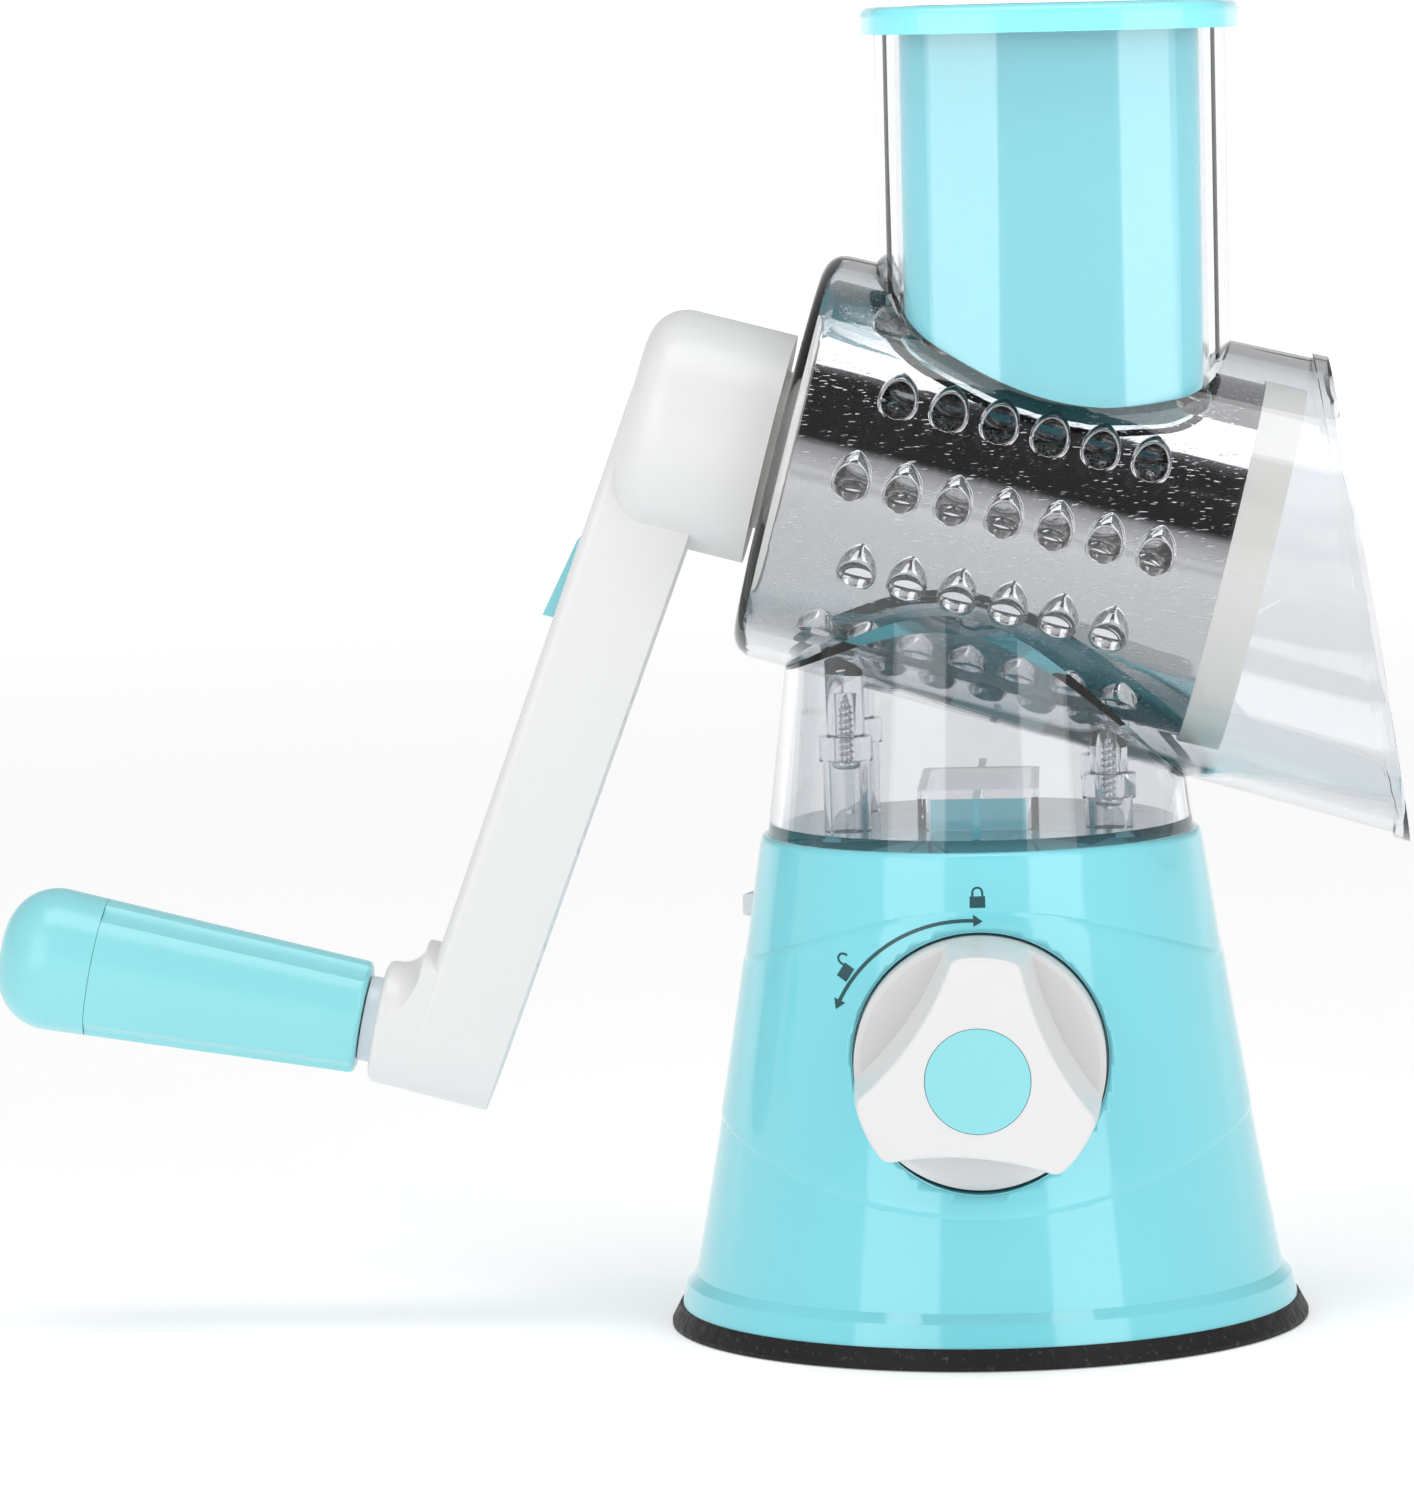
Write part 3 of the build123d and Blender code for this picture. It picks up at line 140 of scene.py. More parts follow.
def spread(tree, source, low, high, start=0.3, end=0.7):
    """Source's range from start to end mapped on to low to high."""
    made = tree.nodes.new("ShaderNodeMapRange")
    for key, value in zip(("From Min", "From Max", "To Min", "To Max"), (start, end, low, high)):
        made.inputs[key].default_value = value
    tree.links.new(source, made.inputs["Value"])
    return made.outputs["Result"]


def tint(tree, factor, first, second):
    """Mix of two colours by a factor."""
    made = tree.nodes.new("ShaderNodeMix")
    made.data_type = "RGBA"
    made.inputs["A"].default_value = (*first, 1)
    made.inputs["B"].default_value = (*second, 1)
    tree.links.new(factor, made.inputs["Factor"])
    return made.outputs["Result"]


def relief(tree, shader, height, distance, strength=1.0, under=None):
    """Bump of this depth in metres, over another bump if one is given."""
    made = tree.nodes.new("ShaderNodeBump")
    made.inputs["Strength"].default_value = strength
    made.inputs["Distance"].default_value = distance
    tree.links.new(height, made.inputs["Height"])
    if under:
        tree.links.new(under, made.inputs["Normal"])
    tree.links.new(made.outputs["Normal"], shader.inputs["Normal"])
    return made.outputs["Normal"]


def combine(tree, operation, first, second):
    """Math node of two sources, or of a source and a number."""
    made = tree.nodes.new("ShaderNodeMath")
    made.operation = operation
    tree.links.new(first, made.inputs[0])
    if isinstance(second, float):
        made.inputs[1].default_value = second
    else:
        tree.links.new(second, made.inputs[1])
    return made.outputs["Value"]


def moulded(name, colour, roughness=0.1, variation=0.02, waviness=0.00001, **sockets):
    """Glossy moulded plastic: slow flow marks in its colour, a little haze in its gloss, faint waves."""
    made, tree, shader = finish(name, colour, roughness, **sockets)
    paler = [min(1.0, c * (1 + variation)) for c in colour]
    deeper = [c * (1 - variation) for c in colour]
    flow = noise(tree, 14, 2, stretch=(1, 1, 0.35))
    tree.links.new(tint(tree, spread(tree, flow, 0, 1), deeper, paler), shader.inputs["Base Color"])
    haze = noise(tree, 120, 3)
    tree.links.new(spread(tree, haze, roughness * 0.93, roughness * 1.08), shader.inputs["Roughness"])
    relief(tree, shader, noise(tree, 30, 2), waviness)
    return made


def scratches(tree, turns, scale, fine):
    """Sparse short strokes in several directions, 0 to 1."""
    total = None
    for turn in turns:
        stroke = noise(tree, scale, 1, turn=turn, stretch=(1, fine, fine))
        stroke = spread(tree, stroke, 0, 1, 0.71, 0.79)
        total = stroke if total is None else combine(tree, "MAXIMUM", total, stroke)
    return total


def polished_steel(name):
    """Bright rolled sheet: mirror finish with handling scratches and a slight roll."""
    made, tree, shader = finish(name, (0.54, 0.54, 0.54), 0.05, metallic=1.0)
    turns = ((0.3, 0.9, 0.2), (1.1, 0.2, 0.7), (0.1, 0.5, 1.4), (0.7, 1.3, 0.4))
    strokes = scratches(tree, turns, 330, 8)
    haze = spread(tree, noise(tree, 60, 4), 0.03, 0.06)
    rough = combine(tree, "MAXIMUM", haze, combine(tree, "MULTIPLY", strokes, 0.5))
    tree.links.new(rough, shader.inputs["Roughness"])
    worn = tint(tree, noise(tree, 35, 3), (0.51, 0.508, 0.506), (0.57, 0.568, 0.566))
    lightened = tree.nodes.new("ShaderNodeMix")
    lightened.data_type = "RGBA"
    lightened.inputs["B"].default_value = (0.8, 0.8, 0.8, 1)
    tree.links.new(strokes, lightened.inputs["Factor"])
    tree.links.new(worn, lightened.inputs["A"])
    tree.links.new(lightened.outputs["Result"], shader.inputs["Base Color"])
    roll = relief(tree, shader, noise(tree, 38, 2), 0.0001)
    relief(tree, shader, strokes, 0.00002, 1.0, under=roll)
    return made


def clear_plastic(name, colour=(0.87, 0.88, 0.9), roughness=0.012):
    """Clear injection-moulded plastic, faintly grey. Light from the lamps passes straight through it."""
    made, tree, shader = finish(name, colour, roughness, IOR=1.5, Transmission_Weight=1.0)
    haze = noise(tree, 300, 3)
    tree.links.new(spread(tree, haze, roughness * 0.5, roughness * 1.8), shader.inputs["Roughness"])
    relief(tree, shader, noise(tree, 40, 2, stretch=(1, 1, 0.4)), 0.00003)
    # deeper where it is seen edge-on
    facing = tree.nodes.new("ShaderNodeLayerWeight")
    facing.inputs["Blend"].default_value = 0.35
    edge = combine(tree, "POWER", facing.outputs["Facing"], 4.0)
    tree.links.new(tint(tree, edge, colour, (0.8, 0.88, 0.9)), shader.inputs["Base Color"])
    path = tree.nodes.new("ShaderNodeLightPath")
    through = tree.nodes.new("ShaderNodeBsdfTransparent")
    through.inputs["Color"].default_value = (0.97, 0.98, 0.985, 1)
    mix = tree.nodes.new("ShaderNodeMixShader")
    tree.links.new(path.outputs["Is Shadow Ray"], mix.inputs[0])
    tree.links.new(shader.outputs["BSDF"], mix.inputs[1])
    tree.links.new(through.outputs["BSDF"], mix.inputs[2])
    tree.links.new(mix.outputs["Shader"], tree.nodes["Material Output"].inputs["Surface"])
    return made


def speckled_rubber(name):
    """Black moulded rubber with a dusty, slightly pitted skin."""
    made, tree, shader = finish(name, (0.014, 0.013, 0.014), 0.5, Specular_IOR_Level=0.22)
    dust = spread(tree, noise(tree, 900, 6), 0, 1, 0.6, 0.78)
    dusty = tint(tree, dust, (0.012, 0.011, 0.012), (0.075, 0.072, 0.075))
    tree.links.new(dusty, shader.inputs["Base Color"])
    tree.links.new(spread(tree, noise(tree, 500, 3), 0.38, 0.62), shader.inputs["Roughness"])
    relief(tree, shader, noise(tree, 1300, 3), 0.00006)
    return made


def plated_steel(name):
    """Zinc-plated screws and wire: bright, slightly mottled."""
    made, tree, shader = finish(name, (0.6, 0.61, 0.62), 0.25, metallic=1.0)
    mottle = noise(tree, 700, 3)
    mottled = tint(tree, mottle, (0.48, 0.49, 0.51), (0.72, 0.73, 0.73))
    tree.links.new(mottled, shader.inputs["Base Color"])
    tree.links.new(spread(tree, mottle, 0.16, 0.34), shader.inputs["Roughness"])
    relief(tree, shader, noise(tree, 1500, 2), 0.00001)
    return made


def printed_ink(name):
    """Dark pad-printed ink with slightly uneven cover."""
    made, tree, shader = finish(name, (0.008, 0.05, 0.06), 0.35)
    cover = noise(tree, 1600, 4)
    covered = tint(tree, cover, (0.008, 0.05, 0.062), (0.014, 0.09, 0.105))
    tree.links.new(covered, shader.inputs["Base Color"])
    return made


turquoise = moulded("turquoise_abs", (0.2, 0.65, 0.73), Coat_Weight=0.3, Coat_Roughness=0.03)
# the pusher's turquoise is the base's turquoise painted lighter: painted light that makes up for the light
# it loses behind the chute's clear wall
brightened_pusher_turquoise = moulded("turquoise_pusher_brightened", (0.25, 0.8, 0.88), Coat_Weight=0.3, Coat_Roughness=0.03)
pale_turquoise = moulded("turquoise_soft", (0.25, 0.65, 0.7), roughness=0.24)
white = moulded("white_abs", (0.7, 0.7, 0.703), roughness=0.33, variation=0.008)
ivory = moulded("ivory_plastic", (0.8, 0.79, 0.74), roughness=0.3, variation=0.03)
nub_white = moulded("nub_white", (0.74, 0.75, 0.76), roughness=0.35, variation=0.02)
collar_white = moulded("collar_white", (0.7, 0.76, 0.8), roughness=0.3, variation=0.02)
clear = clear_plastic("clear_plastic")
steel = polished_steel("polished_steel")
screw_steel = plated_steel("plated_steel")
rubber = speckled_rubber("black_rubber")
ink = printed_ink("printed_ink")

finish_of = {
    "base_shell": turquoise,
    "base_floor": turquoise,
    "floor_screws": screw_steel,
    "suction_pad": rubber,
    "stand": clear,
    "stand_screws": screw_steel,
    "barrel_housing": clear,
    "suction_knob": white,
    "knob_cap": pale_turquoise,
    "knob_screw": screw_steel,
    "cam_shaft": white,
    "lift_stem": white,
    "stem_spring": screw_steel,
    "release_latch": nub_white,
    "latch_spring": screw_steel,
    "crank_inner_shell": white,
    "crank_outer_shell": white,
    "crank_screws": screw_steel,
    "drum_hub": ivory,
    "drum_sleeve": steel,
    "drum_ring": ivory,
    "grip_axle": screw_steel,
    "axle_collar": collar_white,
    "grip_body": pale_turquoise,
    "grip_end_cap": pale_turquoise,
    "release_button": pale_turquoise,
    "coupling_catch": white,
    "catch_spring": screw_steel,
    "food_pusher": brightened_pusher_turquoise,
}
for node, look in finish_of.items():
    for material_slot in nodes[node].material_slots:
        material_slot.material = look

# ---------------------------------------------------------------- grating sleeve
sleeve_radius = 35.5
sleeve_wall = 0.5
sleeve_start, sleeve_end = -35.7, 52.8
tooth_rows = 12
tooth_pitch = 10.0
long_row, short_row = 7, 6
long_row_start = 12.1
first_row = radians(6.6)
row_spacing = radians(27.8)
ramp_power = 1.7            # how round the hood's slope is, from its outline to the hole's edge
hole_radius = 3.45
tooth_width = 7.7
tooth_length = 6.5          # from the hole's middle to the hood's tip
hood_height = 2.3
hood_slope = 1.3            # how fast the hole's edge comes down at its sides
lip_depth = 1.4             # how far the lower lip is pressed in
lip_reach = 1.6             # from the hole's middle to the lip's inner edge
cell_sides = 12             # quads along each side of a tooth's cell
row_arc = row_spacing * sleeve_radius


def on_sleeve(row, s, y, height=0.0):
    """Point on the sleeve: y is the arc length up from the row's middle, height the distance off it."""
    angle = first_row + row * row_spacing - y / sleeve_radius
    reach = sleeve_radius + height
    return at(s, reach * cos(angle), reach * sin(angle))


def tooth_outline():
    """Outline of a tooth from its right side over the pointed tip: an ogive above, a half circle below."""
    half = tooth_width / 2
    bow = (half**2 + tooth_length**2) / tooth_width
    top = asin(tooth_length / bow)
    count = 4 * cell_sides
    points = []
    for i in range(count):
        turn = 2 * pi * i / count
        if turn < pi / 2:
            bend = top * turn / (pi / 2)
            points.append((half - bow + bow * cos(bend), bow * sin(bend)))
        elif turn <= pi:
            bend = top * (pi - turn) / (pi / 2)
            points.append((-(half - bow + bow * cos(bend)), bow * sin(bend)))
        else:
            points.append((half * cos(turn), half * sin(turn)))
    return points


def cell_outline():
    """Outline of a tooth's cell, from the middle of its right side up and round."""
    half_s, half_y = tooth_pitch / 2, row_arc / 2
    steps = [2 * k / cell_sides for k in range(cell_sides)]
    right = [(half_s, half_y * (k - 1)) for k in steps]
    top = [(half_s * (1 - k), half_y) for k in steps]
    left = [(-half_s, half_y * (1 - k)) for k in steps]
    bottom = [(half_s * (k - 1), -half_y) for k in steps]
    ring = right + top + left + bottom
    middle = cell_sides // 2
    return ring[middle:] + ring[:middle]


def add_tooth(mesh, row, middle):
    """A tooth and the sheet of its cell: a hood up to the upper edge of a round hole, and a lip below."""
    outline, border = tooth_outline(), cell_outline()
    count = len(outline)
    turns = [2 * pi * i / count for i in range(count)]
    hole = [(hole_radius * cos(turn), hole_radius * sin(turn)) for turn in turns]
    crest = [hood_height * ((1 + sin(turn)) / 2) ** hood_slope for turn in turns]

    def ring(outer, inner, share, heights=None):
        """Ring of vertices this share of the way from the outer outline to the inner one."""
        made = []
        for i, ((a, b), (c, d)) in enumerate(zip(outer, inner)):
            height = heights[i] * (1 - (1 - share) ** ramp_power) if heights else 0.0
            spot = on_sleeve(row, middle + a + (c - a) * share, b + (d - b) * share, height)
            made.append(mesh.verts.new(spot))
        return made

    rings = [ring(border, outline, share) for share in (0, 0.4, 0.75, 0.93, 1)]
    rings += [ring(outline, hole, share, crest) for share in (0.12, 0.28, 0.46, 0.64, 0.82, 1)]
    grid_faces(mesh, rings, close=True)
    # lower lip, pressed in
    lower = range(count // 2, count + 1)
    lips = [[rings[-1][i % count] for i in lower]]
    for share in (0.12, 0.35, 0.65, 1):
        lip = [lips[0][0]]
        for i in list(lower)[1:-1]:
            turn = 2 * pi * i / count
            depth = hole_radius + (lip_reach - hole_radius) * share
            sunk = crest[i % count] * (1 - share) + lip_depth * share**0.8 * sin(turn)
            spot = on_sleeve(row, middle + hole_radius * cos(turn), depth * sin(turn), sunk)
            lip.append(mesh.verts.new(spot))
        lip.append(lips[0][-1])
        lips.append(lip)
    for near, far in zip(lips, lips[1:]):
        for i in range(len(near) - 1):
            corners = []
            for corner in (near[i], near[i + 1], far[i + 1], far[i]):
                if corner not in corners:
                    corners.append(corner)
            if len(corners) > 2:
                mesh.faces.new(corners)


column_width = tooth_pitch / cell_sides


def margin_places(start, end, step):
    """Places from start to end, the step apart, with what is left over at the end."""
    places = [start]
    while abs(end - places[-1]) > abs(step) + 0.001:
        places.append(places[-1] + step)
    return places + [end]


def add_plain(mesh, places, row, low, high, steps):
    """Plain sheet over these places along the axis, between two heights about a row's middle."""
    heights = [low + (high - low) * k / steps for k in range(steps + 1)]
    grid_faces(mesh, [[mesh.verts.new(on_sleeve(row, s, y)) for y in heights] for s in places])


sheet = bmesh.new()
for row in range(tooth_rows):
    teeth = long_row if row % 2 == 1 else short_row
    first = sleeve_start + long_row_start + (0 if teeth == long_row else tooth_pitch / 2)
    for tooth in range(teeth):
        add_tooth(sheet, row, first + tooth * tooth_pitch)
    left = margin_places(first - tooth_pitch / 2, sleeve_start, -column_width)
    right = margin_places(first + (teeth - 0.5) * tooth_pitch, sleeve_end, column_width)
    add_plain(sheet, left, row, -row_arc / 2, row_arc / 2, cell_sides)
    add_plain(sheet, right, row, -row_arc / 2, row_arc / 2, cell_sides)
# plain strip along the seam
seam_start = sleeve_start + long_row_start - tooth_pitch / 2
seam = margin_places(seam_start, sleeve_start, -column_width)[::-1]
seam += margin_places(seam_start, sleeve_end, column_width)[1:]
seam_end = 2 * pi * sleeve_radius - (tooth_rows - 0.5) * row_arc
seam_steps = 10
add_plain(sheet, seam, 0, row_arc / 2, seam_end, seam_steps)
weld_distance = 0.002
bmesh.ops.remove_doubles(sheet, verts=sheet.verts, dist=weld_distance)
bmesh.ops.recalc_face_normals(sheet, faces=sheet.faces)
sleeve = piece("grating_sleeve", sheet, "crank", steel)
apply_modifier(sleeve, "SOLIDIFY", thickness=sleeve_wall * MM, offset=-1.0)
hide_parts("drum_sleeve")


# ---------------------------------------------------------------- screws
thread_pitch = 1.25
thread_core = 0.68          # of the screw's radius
thread_step = 0.14          # between the rings of vertices along the shank
# pan head from its rim inwards: share of its radius, and of its height
head_profile = [
    (1.0, 0.35),
    (0.96, 0.62),
    (0.86, 0.82),
    (0.72, 0.93),
    (0.58, 0.98),
    (0.44, 1),
    (0.3, 1),
    (0.18, 1),
    (0.08, 1),
]
screw_radius, screw_length = 1.5, 13.0
screw_head_radius, screw_head_height = 2.65, 1.6


def add_screw(mesh, frame_of, radius, length, head_radius, head_height, tip=3.0):
    """Self-tapping screw with a pan head and a cross recess, its shank along local z."""
    around = 20
    rows = []
    steps = int(length / thread_step)
    for k in range(steps + 1):
        z = length * k / steps
        end = min(1.0, (length - z) / tip) ** 0.7
        start = min(1.0, z / 0.8)
        row = []
        for i in range(around):
            turn = 2 * pi * i / around
            phase = (z / thread_pitch - turn / (2 * pi)) % 1
            crest = max(0.0, 1 - abs(phase - 0.5) * 4.5) * start
            reach = radius * (thread_core + (1 - thread_core) * crest) * max(end, 0.03)
            row.append(mesh.verts.new(frame_of(reach * cos(turn), reach * sin(turn), z)))
        rows.append(row)
    grid_faces(mesh, rows, close=True)
    mesh.faces.new(rows[-1])
    # head: a dome with a cross pressed into it
    spokes = 48
    rings = [[(radius * thread_core, 0.0)] * spokes, [(head_radius, 0.0)] * spokes]
    for reach, height in head_profile:
        rings.append([(head_radius * reach, head_height * height)] * spokes)
    slot_half, slot_length = 0.14 * head_radius, 0.62 * head_radius
    made = []
    for ring in rings:
        row = []
        for i, (reach, height) in enumerate(ring):
            turn = 2 * pi * (i + 0.5) / spokes
            x, y = reach * cos(turn), reach * sin(turn)
            inside = min(abs(x), abs(y)) < slot_half * 1.2 and max(abs(x), abs(y)) < slot_length
            sunk = 0.0
            if inside and height > 0.5 * head_height:
                sunk = 0.55 * head_height * (1 - 0.4 * reach / slot_length)
            row.append(mesh.verts.new(frame_of(x, y, -(height - sunk))))
        made.append(row)
    grid_faces(mesh, made, close=True)
    mesh.faces.new(made[-1])


def screw_frame(origin, along, across):
    """Function that puts a screw's own x, y and z into the frame, its head at the origin."""
    side = along.cross(across)

    def frame_of(x, y, z):
        return origin + across * x + side * y + along * z

    return frame_of


post_x, post_y = 25.0, 18.5
seat_heights = {-post_x: 112.8, post_x: 104.7}
threads = bmesh.new()
for x, seat in seat_heights.items():
    for y in (-post_y, post_y):
        upright = screw_frame(Vector((x, y, seat)), Vector((0, 0, 1)), Vector((1, 0, 0)))
        add_screw(threads, upright, screw_radius, screw_length, screw_head_radius, screw_head_height)
bmesh.ops.recalc_face_normals(threads, faces=threads.faces)
housing_screws = piece("housing_screws", threads, "base", screw_steel)
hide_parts("stand_screws")

# ---------------------------------------------------------------- base: belt and printed marks
belt_rise = 0.3
belt_edge = 1.2              # width of the slope at the belt's edges
belt_side_top, belt_top_bow = 73.3, 12.9
belt_side_bottom, belt_bottom_bow = 41.1, 13.4
belt_sink = 0.02             # the belt starts this far inside its own outer face
belt_sheet = 0.3


def shell_radius(z):
    """Outside radius of the base shell at height z."""
    share = (z - skirt_z) / (deck_z - skirt_z)
    return skirt_radius + (deck_radius - skirt_radius) * share - 4 * skirt_hollow * share * (1 - share)


def belt_top(azimuth):
    """Height of the belt's upper edge, highest in front and behind."""
    return belt_side_top + belt_top_bow * cos(azimuth) ** 2


def belt_bottom(azimuth):
    """Height of the belt's lower edge, lowest in front and behind."""
    return belt_side_bottom - belt_bottom_bow * cos(azimuth) ** 2


def belt_height(azimuth, z):
    """How far the belt stands off the shell here: full between its edges, with a soft slope at each."""
    inside = min(belt_top(azimuth) - z, z - belt_bottom(azimuth)) / belt_edge
    share = max(0.0, min(1.0, inside))
    return belt_rise * share * share * (3 - 2 * share)


def on_base(x, z, lift):
    """Point on the base's front at x and z, lifted off the shell or the belt on it."""
    radius = shell_radius(z)
    azimuth = asin(max(-1.0, min(1.0, x / radius)))
    radius += belt_height(azimuth, z) + lift
    return Vector((x, -sqrt(radius**2 - x**2), z))


belt = bmesh.new()
belt_columns, belt_rows = 240, 30
slope_shares = [0, 0.25, 0.5, 0.75, 1]
rows = []
for i in range(belt_columns):
    azimuth = 2 * pi * i / belt_columns
    low, high = belt_bottom(azimuth), belt_top(azimuth)
    flat = high - low - 2 * belt_edge
    heights = [low + belt_edge * k for k in slope_shares]
    heights += [low + belt_edge + flat * k / belt_rows for k in range(1, belt_rows)]
    heights += [high - belt_edge * k for k in slope_shares[::-1]]
    column = []
    for z in heights:
        radius = shell_radius(z) + belt_height(azimuth, z) - belt_sink
        column.append(belt.verts.new((radius * sin(azimuth), -radius * cos(azimuth), z)))
    rows.append(column)
rows.append(rows[0])
grid_faces(belt, rows)
bmesh.ops.recalc_face_normals(belt, faces=belt.faces)
base_belt = piece("base_belt", belt, "base", turquoise)
apply_modifier(base_belt, "SOLIDIFY", thickness=belt_sheet * MM, offset=-1.0)


def cutter(name, mesh):
    """Object that is only cut with."""
    bmesh.ops.scale(mesh, vec=(MM, MM, MM), verts=mesh.verts)
    data = bpy.data.meshes.new(name)
    mesh.to_mesh(data)
    mesh.free()
    made = bpy.data.objects.new(name, data)
    bpy.context.scene.collection.objects.link(made)
    return made


def cut(made, tool):
    """Cuts the tool out of a piece and removes the tool."""
    apply_modifier(made, "BOOLEAN", operation="DIFFERENCE", object=tool, solver="EXACT")
    bpy.data.objects.remove(tool)


well_radius, well_depth = 25.05, 60
well = bmesh.new()
bmesh.ops.create_cone(
    well,
    cap_ends=True,
    segments=160,
    radius1=well_radius,
    radius2=well_radius,
    depth=well_depth,
    matrix=Matrix.Translation((0, -well_depth, knob_z)) @ Matrix.Rotation(pi / 2, 4, "X"),
)
cut(base_belt, cutter("well_cutter", well))

arrow_width = 0.7
arrow_start, arrow_end = radians(-2), radians(71)
arrow_start_radius, arrow_end_radius = 26.9, 29.4
arrow_head = 1.8
arrow_head_width = 2.35
arrow_steps = 40
print_lift = 0.03
print_step = 0.6             # largest patch of print, so that it lies on the curved shell


def arrow_radius(angle):
    """Distance of the curved arrow from the knob's axis: it opens a little towards its lower end."""
    share = (angle - arrow_start) / (arrow_end - arrow_start)
    return arrow_start_radius + (arrow_end_radius - arrow_start_radius) * share


def add_print(mesh, outline):
    """Printed patch on the base from an outline of x and z, cut fine enough to lie on the curved shell."""
    patch = bmesh.new()
    patch.faces.new([patch.verts.new((x, 0, z)) for x, z in outline])
    xs = [v.co.x for v in patch.verts]
    zs = [v.co.z for v in patch.verts]
    for low, high, normal in ((min(xs), max(xs), (1, 0, 0)), (min(zs), max(zs), (0, 0, 1))):
        place = low + print_step
        while place < high:
            spot = (place, 0, 0) if normal[0] else (0, 0, place)
            parts = patch.verts[:] + patch.edges[:] + patch.faces[:]
            bmesh.ops.bisect_plane(patch, geom=parts, plane_co=spot, plane_no=normal)
            place += print_step
    bmesh.ops.triangulate(patch, faces=patch.faces)
    copy = {v: mesh.verts.new(on_base(v.co.x, v.co.z, print_lift)) for v in patch.verts}
    for face in patch.faces:
        mesh.faces.new([copy[v] for v in face.verts])
    patch.free()


def round_knob(radius, angle):
    """x and z at this radius from the knob's axis, the angle counter-clockwise from straight up."""
    return (-radius * sin(angle), knob_z + radius * cos(angle))


marks = bmesh.new()
head_angle = arrow_head / arrow_radius(arrow_start)
shaft_start, shaft_end = arrow_start + head_angle, arrow_end - head_angle
for k in range(arrow_steps):
    a = shaft_start + (shaft_end - shaft_start) * k / arrow_steps
    b = shaft_start + (shaft_end - shaft_start) * (k + 1) / arrow_steps
    half = arrow_width / 2
    add_print(
        marks,
        [
            round_knob(arrow_radius(a) - half, a),
            round_knob(arrow_radius(a) + half, a),
            round_knob(arrow_radius(b) + half, b),
            round_knob(arrow_radius(b) - half, b),
        ],
    )
for tip, root in ((arrow_start, shaft_start), (arrow_end, shaft_end)):
    half = arrow_head_width / 2
    corners = [round_knob(arrow_radius(root) + half, root), round_knob(arrow_radius(root) - half, root)]
    add_print(marks, [round_knob(arrow_radius(tip), tip)] + corners)

padlock_width, padlock_height = 3.0, 2.2
padlock_bow, padlock_stroke = 0.95, 0.42
padlock_rise = 0.7           # straight part of the bow
padlock_gap = 0.35           # under the free end of an open bow
padlock_steps = 10


def add_padlock(mesh, middle, turn, is_open):
    """Small padlock sign, closed or open, its middle at x and z and turned counter-clockwise."""
    shift = padlock_bow * 2 if is_open else 0.0

    def put(points):
        """Prints an outline given in the sign's own x and z."""
        placed = []
        for x, z in points:
            across = middle[0] + x * cos(turn) - z * sin(turn)
            placed.append((across, middle[1] + x * sin(turn) + z * cos(turn)))
        add_print(mesh, placed)

    half = padlock_width / 2
    put([(-half, -padlock_height), (half, -padlock_height), (half, 0), (-half, 0)])
    inner, outer = padlock_bow - padlock_stroke / 2, padlock_bow + padlock_stroke / 2
    for k in range(padlock_steps):
        a, b = pi * k / padlock_steps, pi * (k + 1) / padlock_steps
        corners = ((outer, a), (outer, b), (inner, b), (inner, a))
        put([(shift + reach * cos(angle), padlock_rise + reach * sin(angle)) for reach, angle in corners])
    for side in (-1, 1):
        low = padlock_gap if is_open and side == 1 else 0.0
        left = shift + side * padlock_bow - padlock_stroke / 2
        right = left + padlock_stroke
        put([(left, low), (right, low), (right, padlock_rise), (left, padlock_rise)])


closed_sign_radius = 31.6
open_sign_radius, open_sign_angle = 31.8, radians(57)
add_padlock(marks, (0.0, knob_z + closed_sign_radius), 0.0, False)
add_padlock(marks, round_knob(open_sign_radius, open_sign_angle), open_sign_angle, True)
bmesh.ops.recalc_face_normals(marks, faces=marks.faces)
piece("printed_marks", marks, "base", ink)

# ---------------------------------------------------------------- light, floor and camera
aim = Vector((0, 0, 0.13))


def softbox(name, azimuth, elevation, distance, width, height, radiance):
    """Rectangular lamp that faces the object. Azimuth 0 is in front, positive to the right."""
    lamp = bpy.data.lights.new(name, "AREA")
    lamp.shape = "RECTANGLE"
    lamp.size, lamp.size_y = width, height
    lamp.energy = radiance * pi * width * height
    made = bpy.data.objects.new(name, lamp)
    turn, lift = radians(azimuth), radians(elevation)
    away = Vector((sin(turn) * cos(lift), -cos(turn) * cos(lift), sin(lift)))
    made.location = aim + away * distance
    made.rotation_euler = away.to_track_quat("Z", "Y").to_euler()
    bpy.context.scene.collection.objects.link(made)


softbox("left_strip", -34, 20.6, 1.3, 0.76, 1.2, 1.75)
softbox("right_strip", 39.5, 20.6, 1.3, 0.67, 1.2, 1.9)
softbox("overhead", 0, 80, 1.4, 1.3, 0.8, 2.6)

world = bpy.data.worlds.new("studio")
bpy.context.scene.world = world
world.use_nodes = True
sky = world.node_tree
coordinates = sky.nodes.new("ShaderNodeTexCoord")
parts = sky.nodes.new("ShaderNodeSeparateXYZ")
sky.links.new(coordinates.outputs["Generated"], parts.inputs["Vector"])
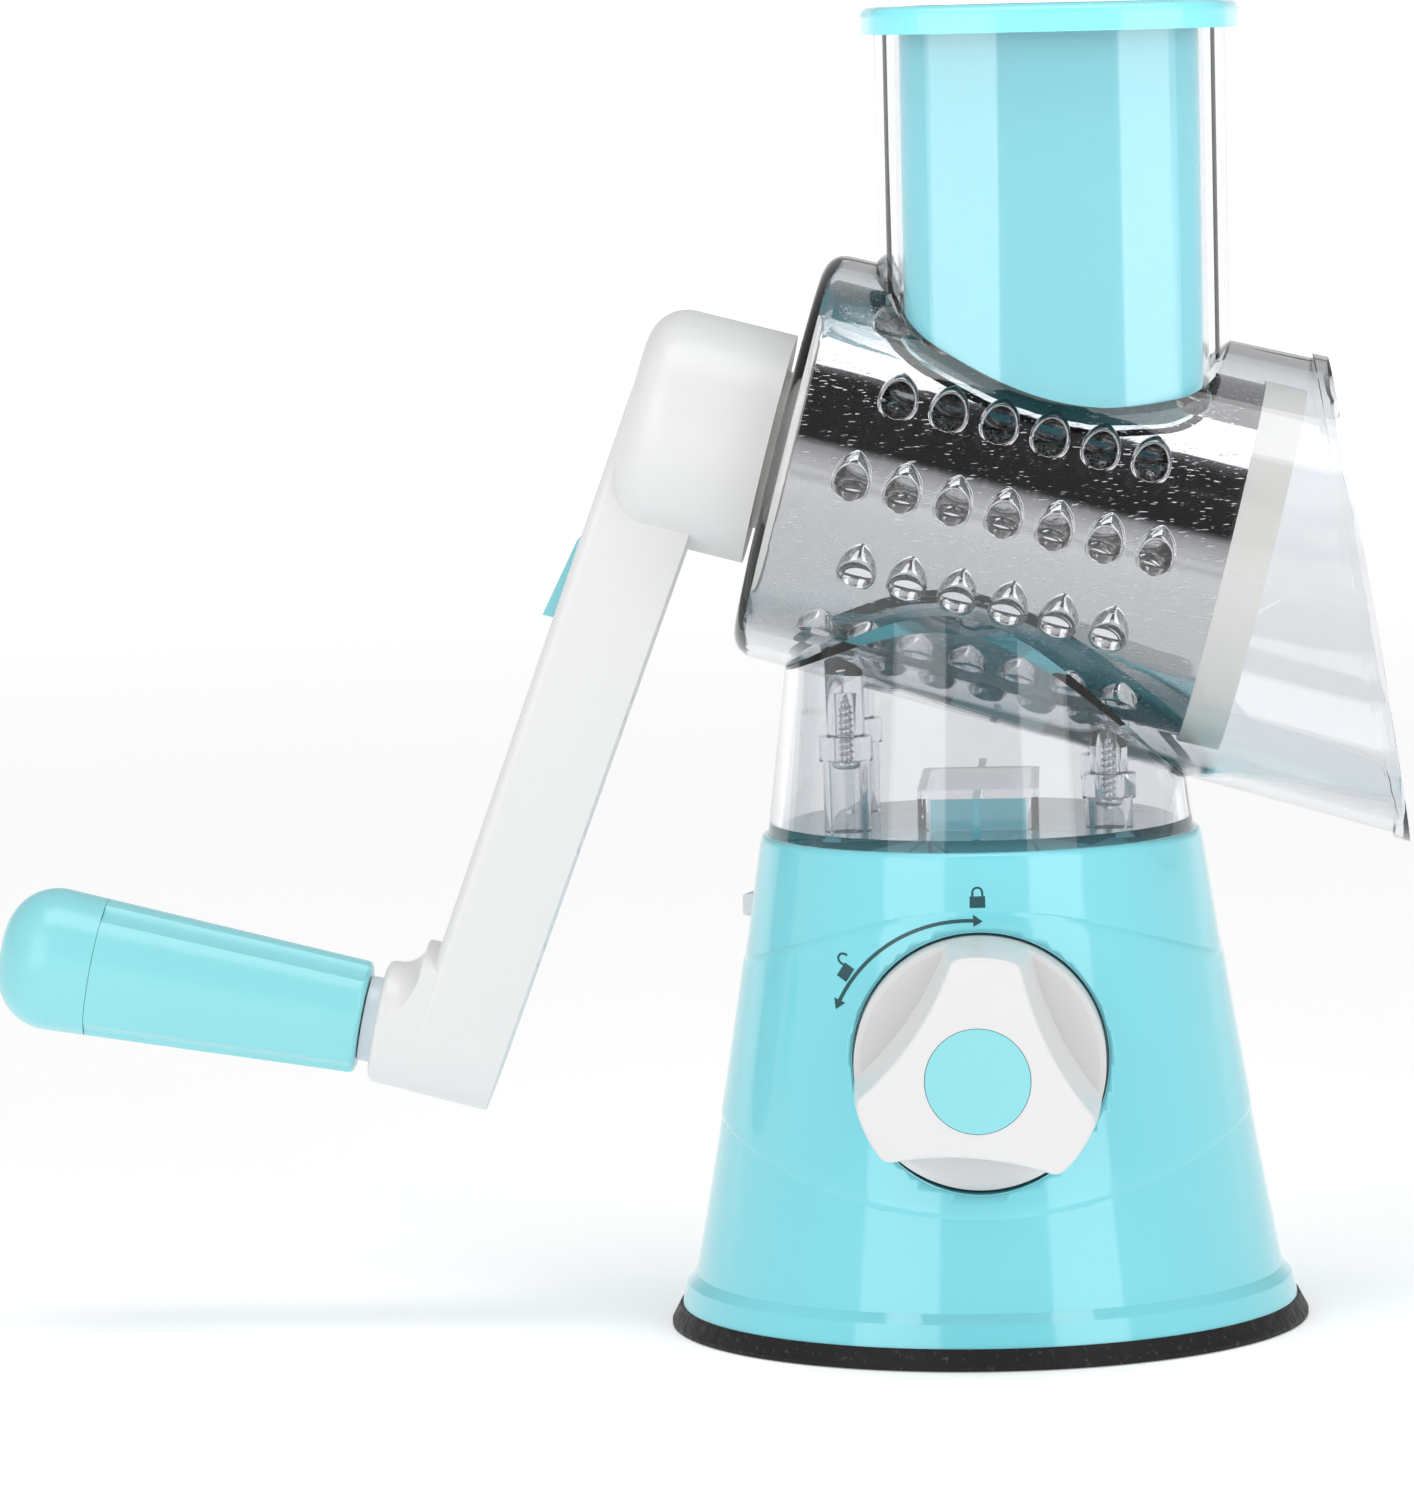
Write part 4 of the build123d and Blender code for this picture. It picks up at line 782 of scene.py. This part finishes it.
# pale paper at the horizon, a dimmer room above it, and a dark opening high up in front
paper_glow, room_glow, opening_share = 1.02, 0.45, 0.12
paper = spread(sky, parts.outputs["Z"], paper_glow, room_glow, 0.05, 0.3)
sideways = combine(sky, "ABSOLUTE", parts.outputs["X"], 0.0)
beside = spread(sky, sideways, opening_share, 1.0, 0.4, 0.5)
below = spread(sky, parts.outputs["Z"], 1.0, opening_share, 0.22, 0.3)
behind = spread(sky, parts.outputs["Y"], opening_share, 1.0, -0.5, -0.35)
opening = combine(sky, "MAXIMUM", combine(sky, "MAXIMUM", beside, below), behind)
glow = combine(sky, "MULTIPLY", paper, opening)
sky.links.new(glow, sky.nodes["Background"].inputs["Strength"])
sky.nodes["Background"].inputs["Color"].default_value = (1, 1, 1, 1)

floor_radius, floor_drop = 200, 0.0002
floor_mesh = bmesh.new()
bmesh.ops.create_circle(floor_mesh, cap_ends=True, segments=96, radius=floor_radius)
floor_data = bpy.data.meshes.new("floor")
floor_mesh.to_mesh(floor_data)
floor_mesh.free()
floor = bpy.data.objects.new("floor", floor_data)
floor.location.z = -floor_drop
bpy.context.scene.collection.objects.link(floor)
floor_look, floor_tree, floor_shader = finish(
    "floor_paper", (0.93, 0.93, 0.93), 0.7, Specular_IOR_Level=0.1, Emission_Color=(1, 1, 1, 1)
)
# the paper glows a little further out, where the lamps no longer reach it
reach = floor_tree.nodes.new("ShaderNodeVectorMath")
reach.operation = "LENGTH"
floor_tree.links.new(place_of(floor_tree), reach.inputs[0])
near_glow, far_glow = 0.27, 0.8
paper_light = spread(floor_tree, reach.outputs["Value"], near_glow, far_glow, 0.4, 3.0)
floor_tree.links.new(paper_light, floor_shader.inputs["Emission Strength"])
floor_data.materials.append(floor_look)

photo_width = 1414           # pixels
focal_pixels = 7697.4
view_yaw, view_pitch, view_roll = radians(-3.196), radians(5.708), radians(1.340)
camera_place = (0.0306, -1.509, 0.2646)
ahead = Vector((sin(view_yaw) * cos(view_pitch), cos(view_yaw) * cos(view_pitch), -sin(view_pitch)))
right = Vector((cos(view_yaw), -sin(view_yaw), 0))
above = right.cross(ahead)
camera_x = right * cos(view_roll) - above * sin(view_roll)
camera_y = above * cos(view_roll) + right * sin(view_roll)
camera_data = bpy.data.cameras.new("camera")
camera_data.sensor_fit = "HORIZONTAL"
camera_data.sensor_width = 36.0
camera_data.lens = focal_pixels / photo_width * camera_data.sensor_width
camera_data.clip_start, camera_data.clip_end = 0.05, 500
camera = bpy.data.objects.new("camera", camera_data)
turned = Matrix((camera_x, camera_y, -ahead)).transposed()
camera.matrix_world = Matrix.Translation(camera_place) @ turned.to_4x4()
bpy.context.scene.collection.objects.link(camera)
bpy.context.scene.camera = camera
scene = bpy.context.scene
scene.view_settings.view_transform = "Standard"
light_bounces = 24           # enough for the walls of clear plastic behind each other
scene.cycles.max_bounces = light_bounces
scene.cycles.transmission_bounces = light_bounces
scene.cycles.transparent_max_bounces = light_bounces
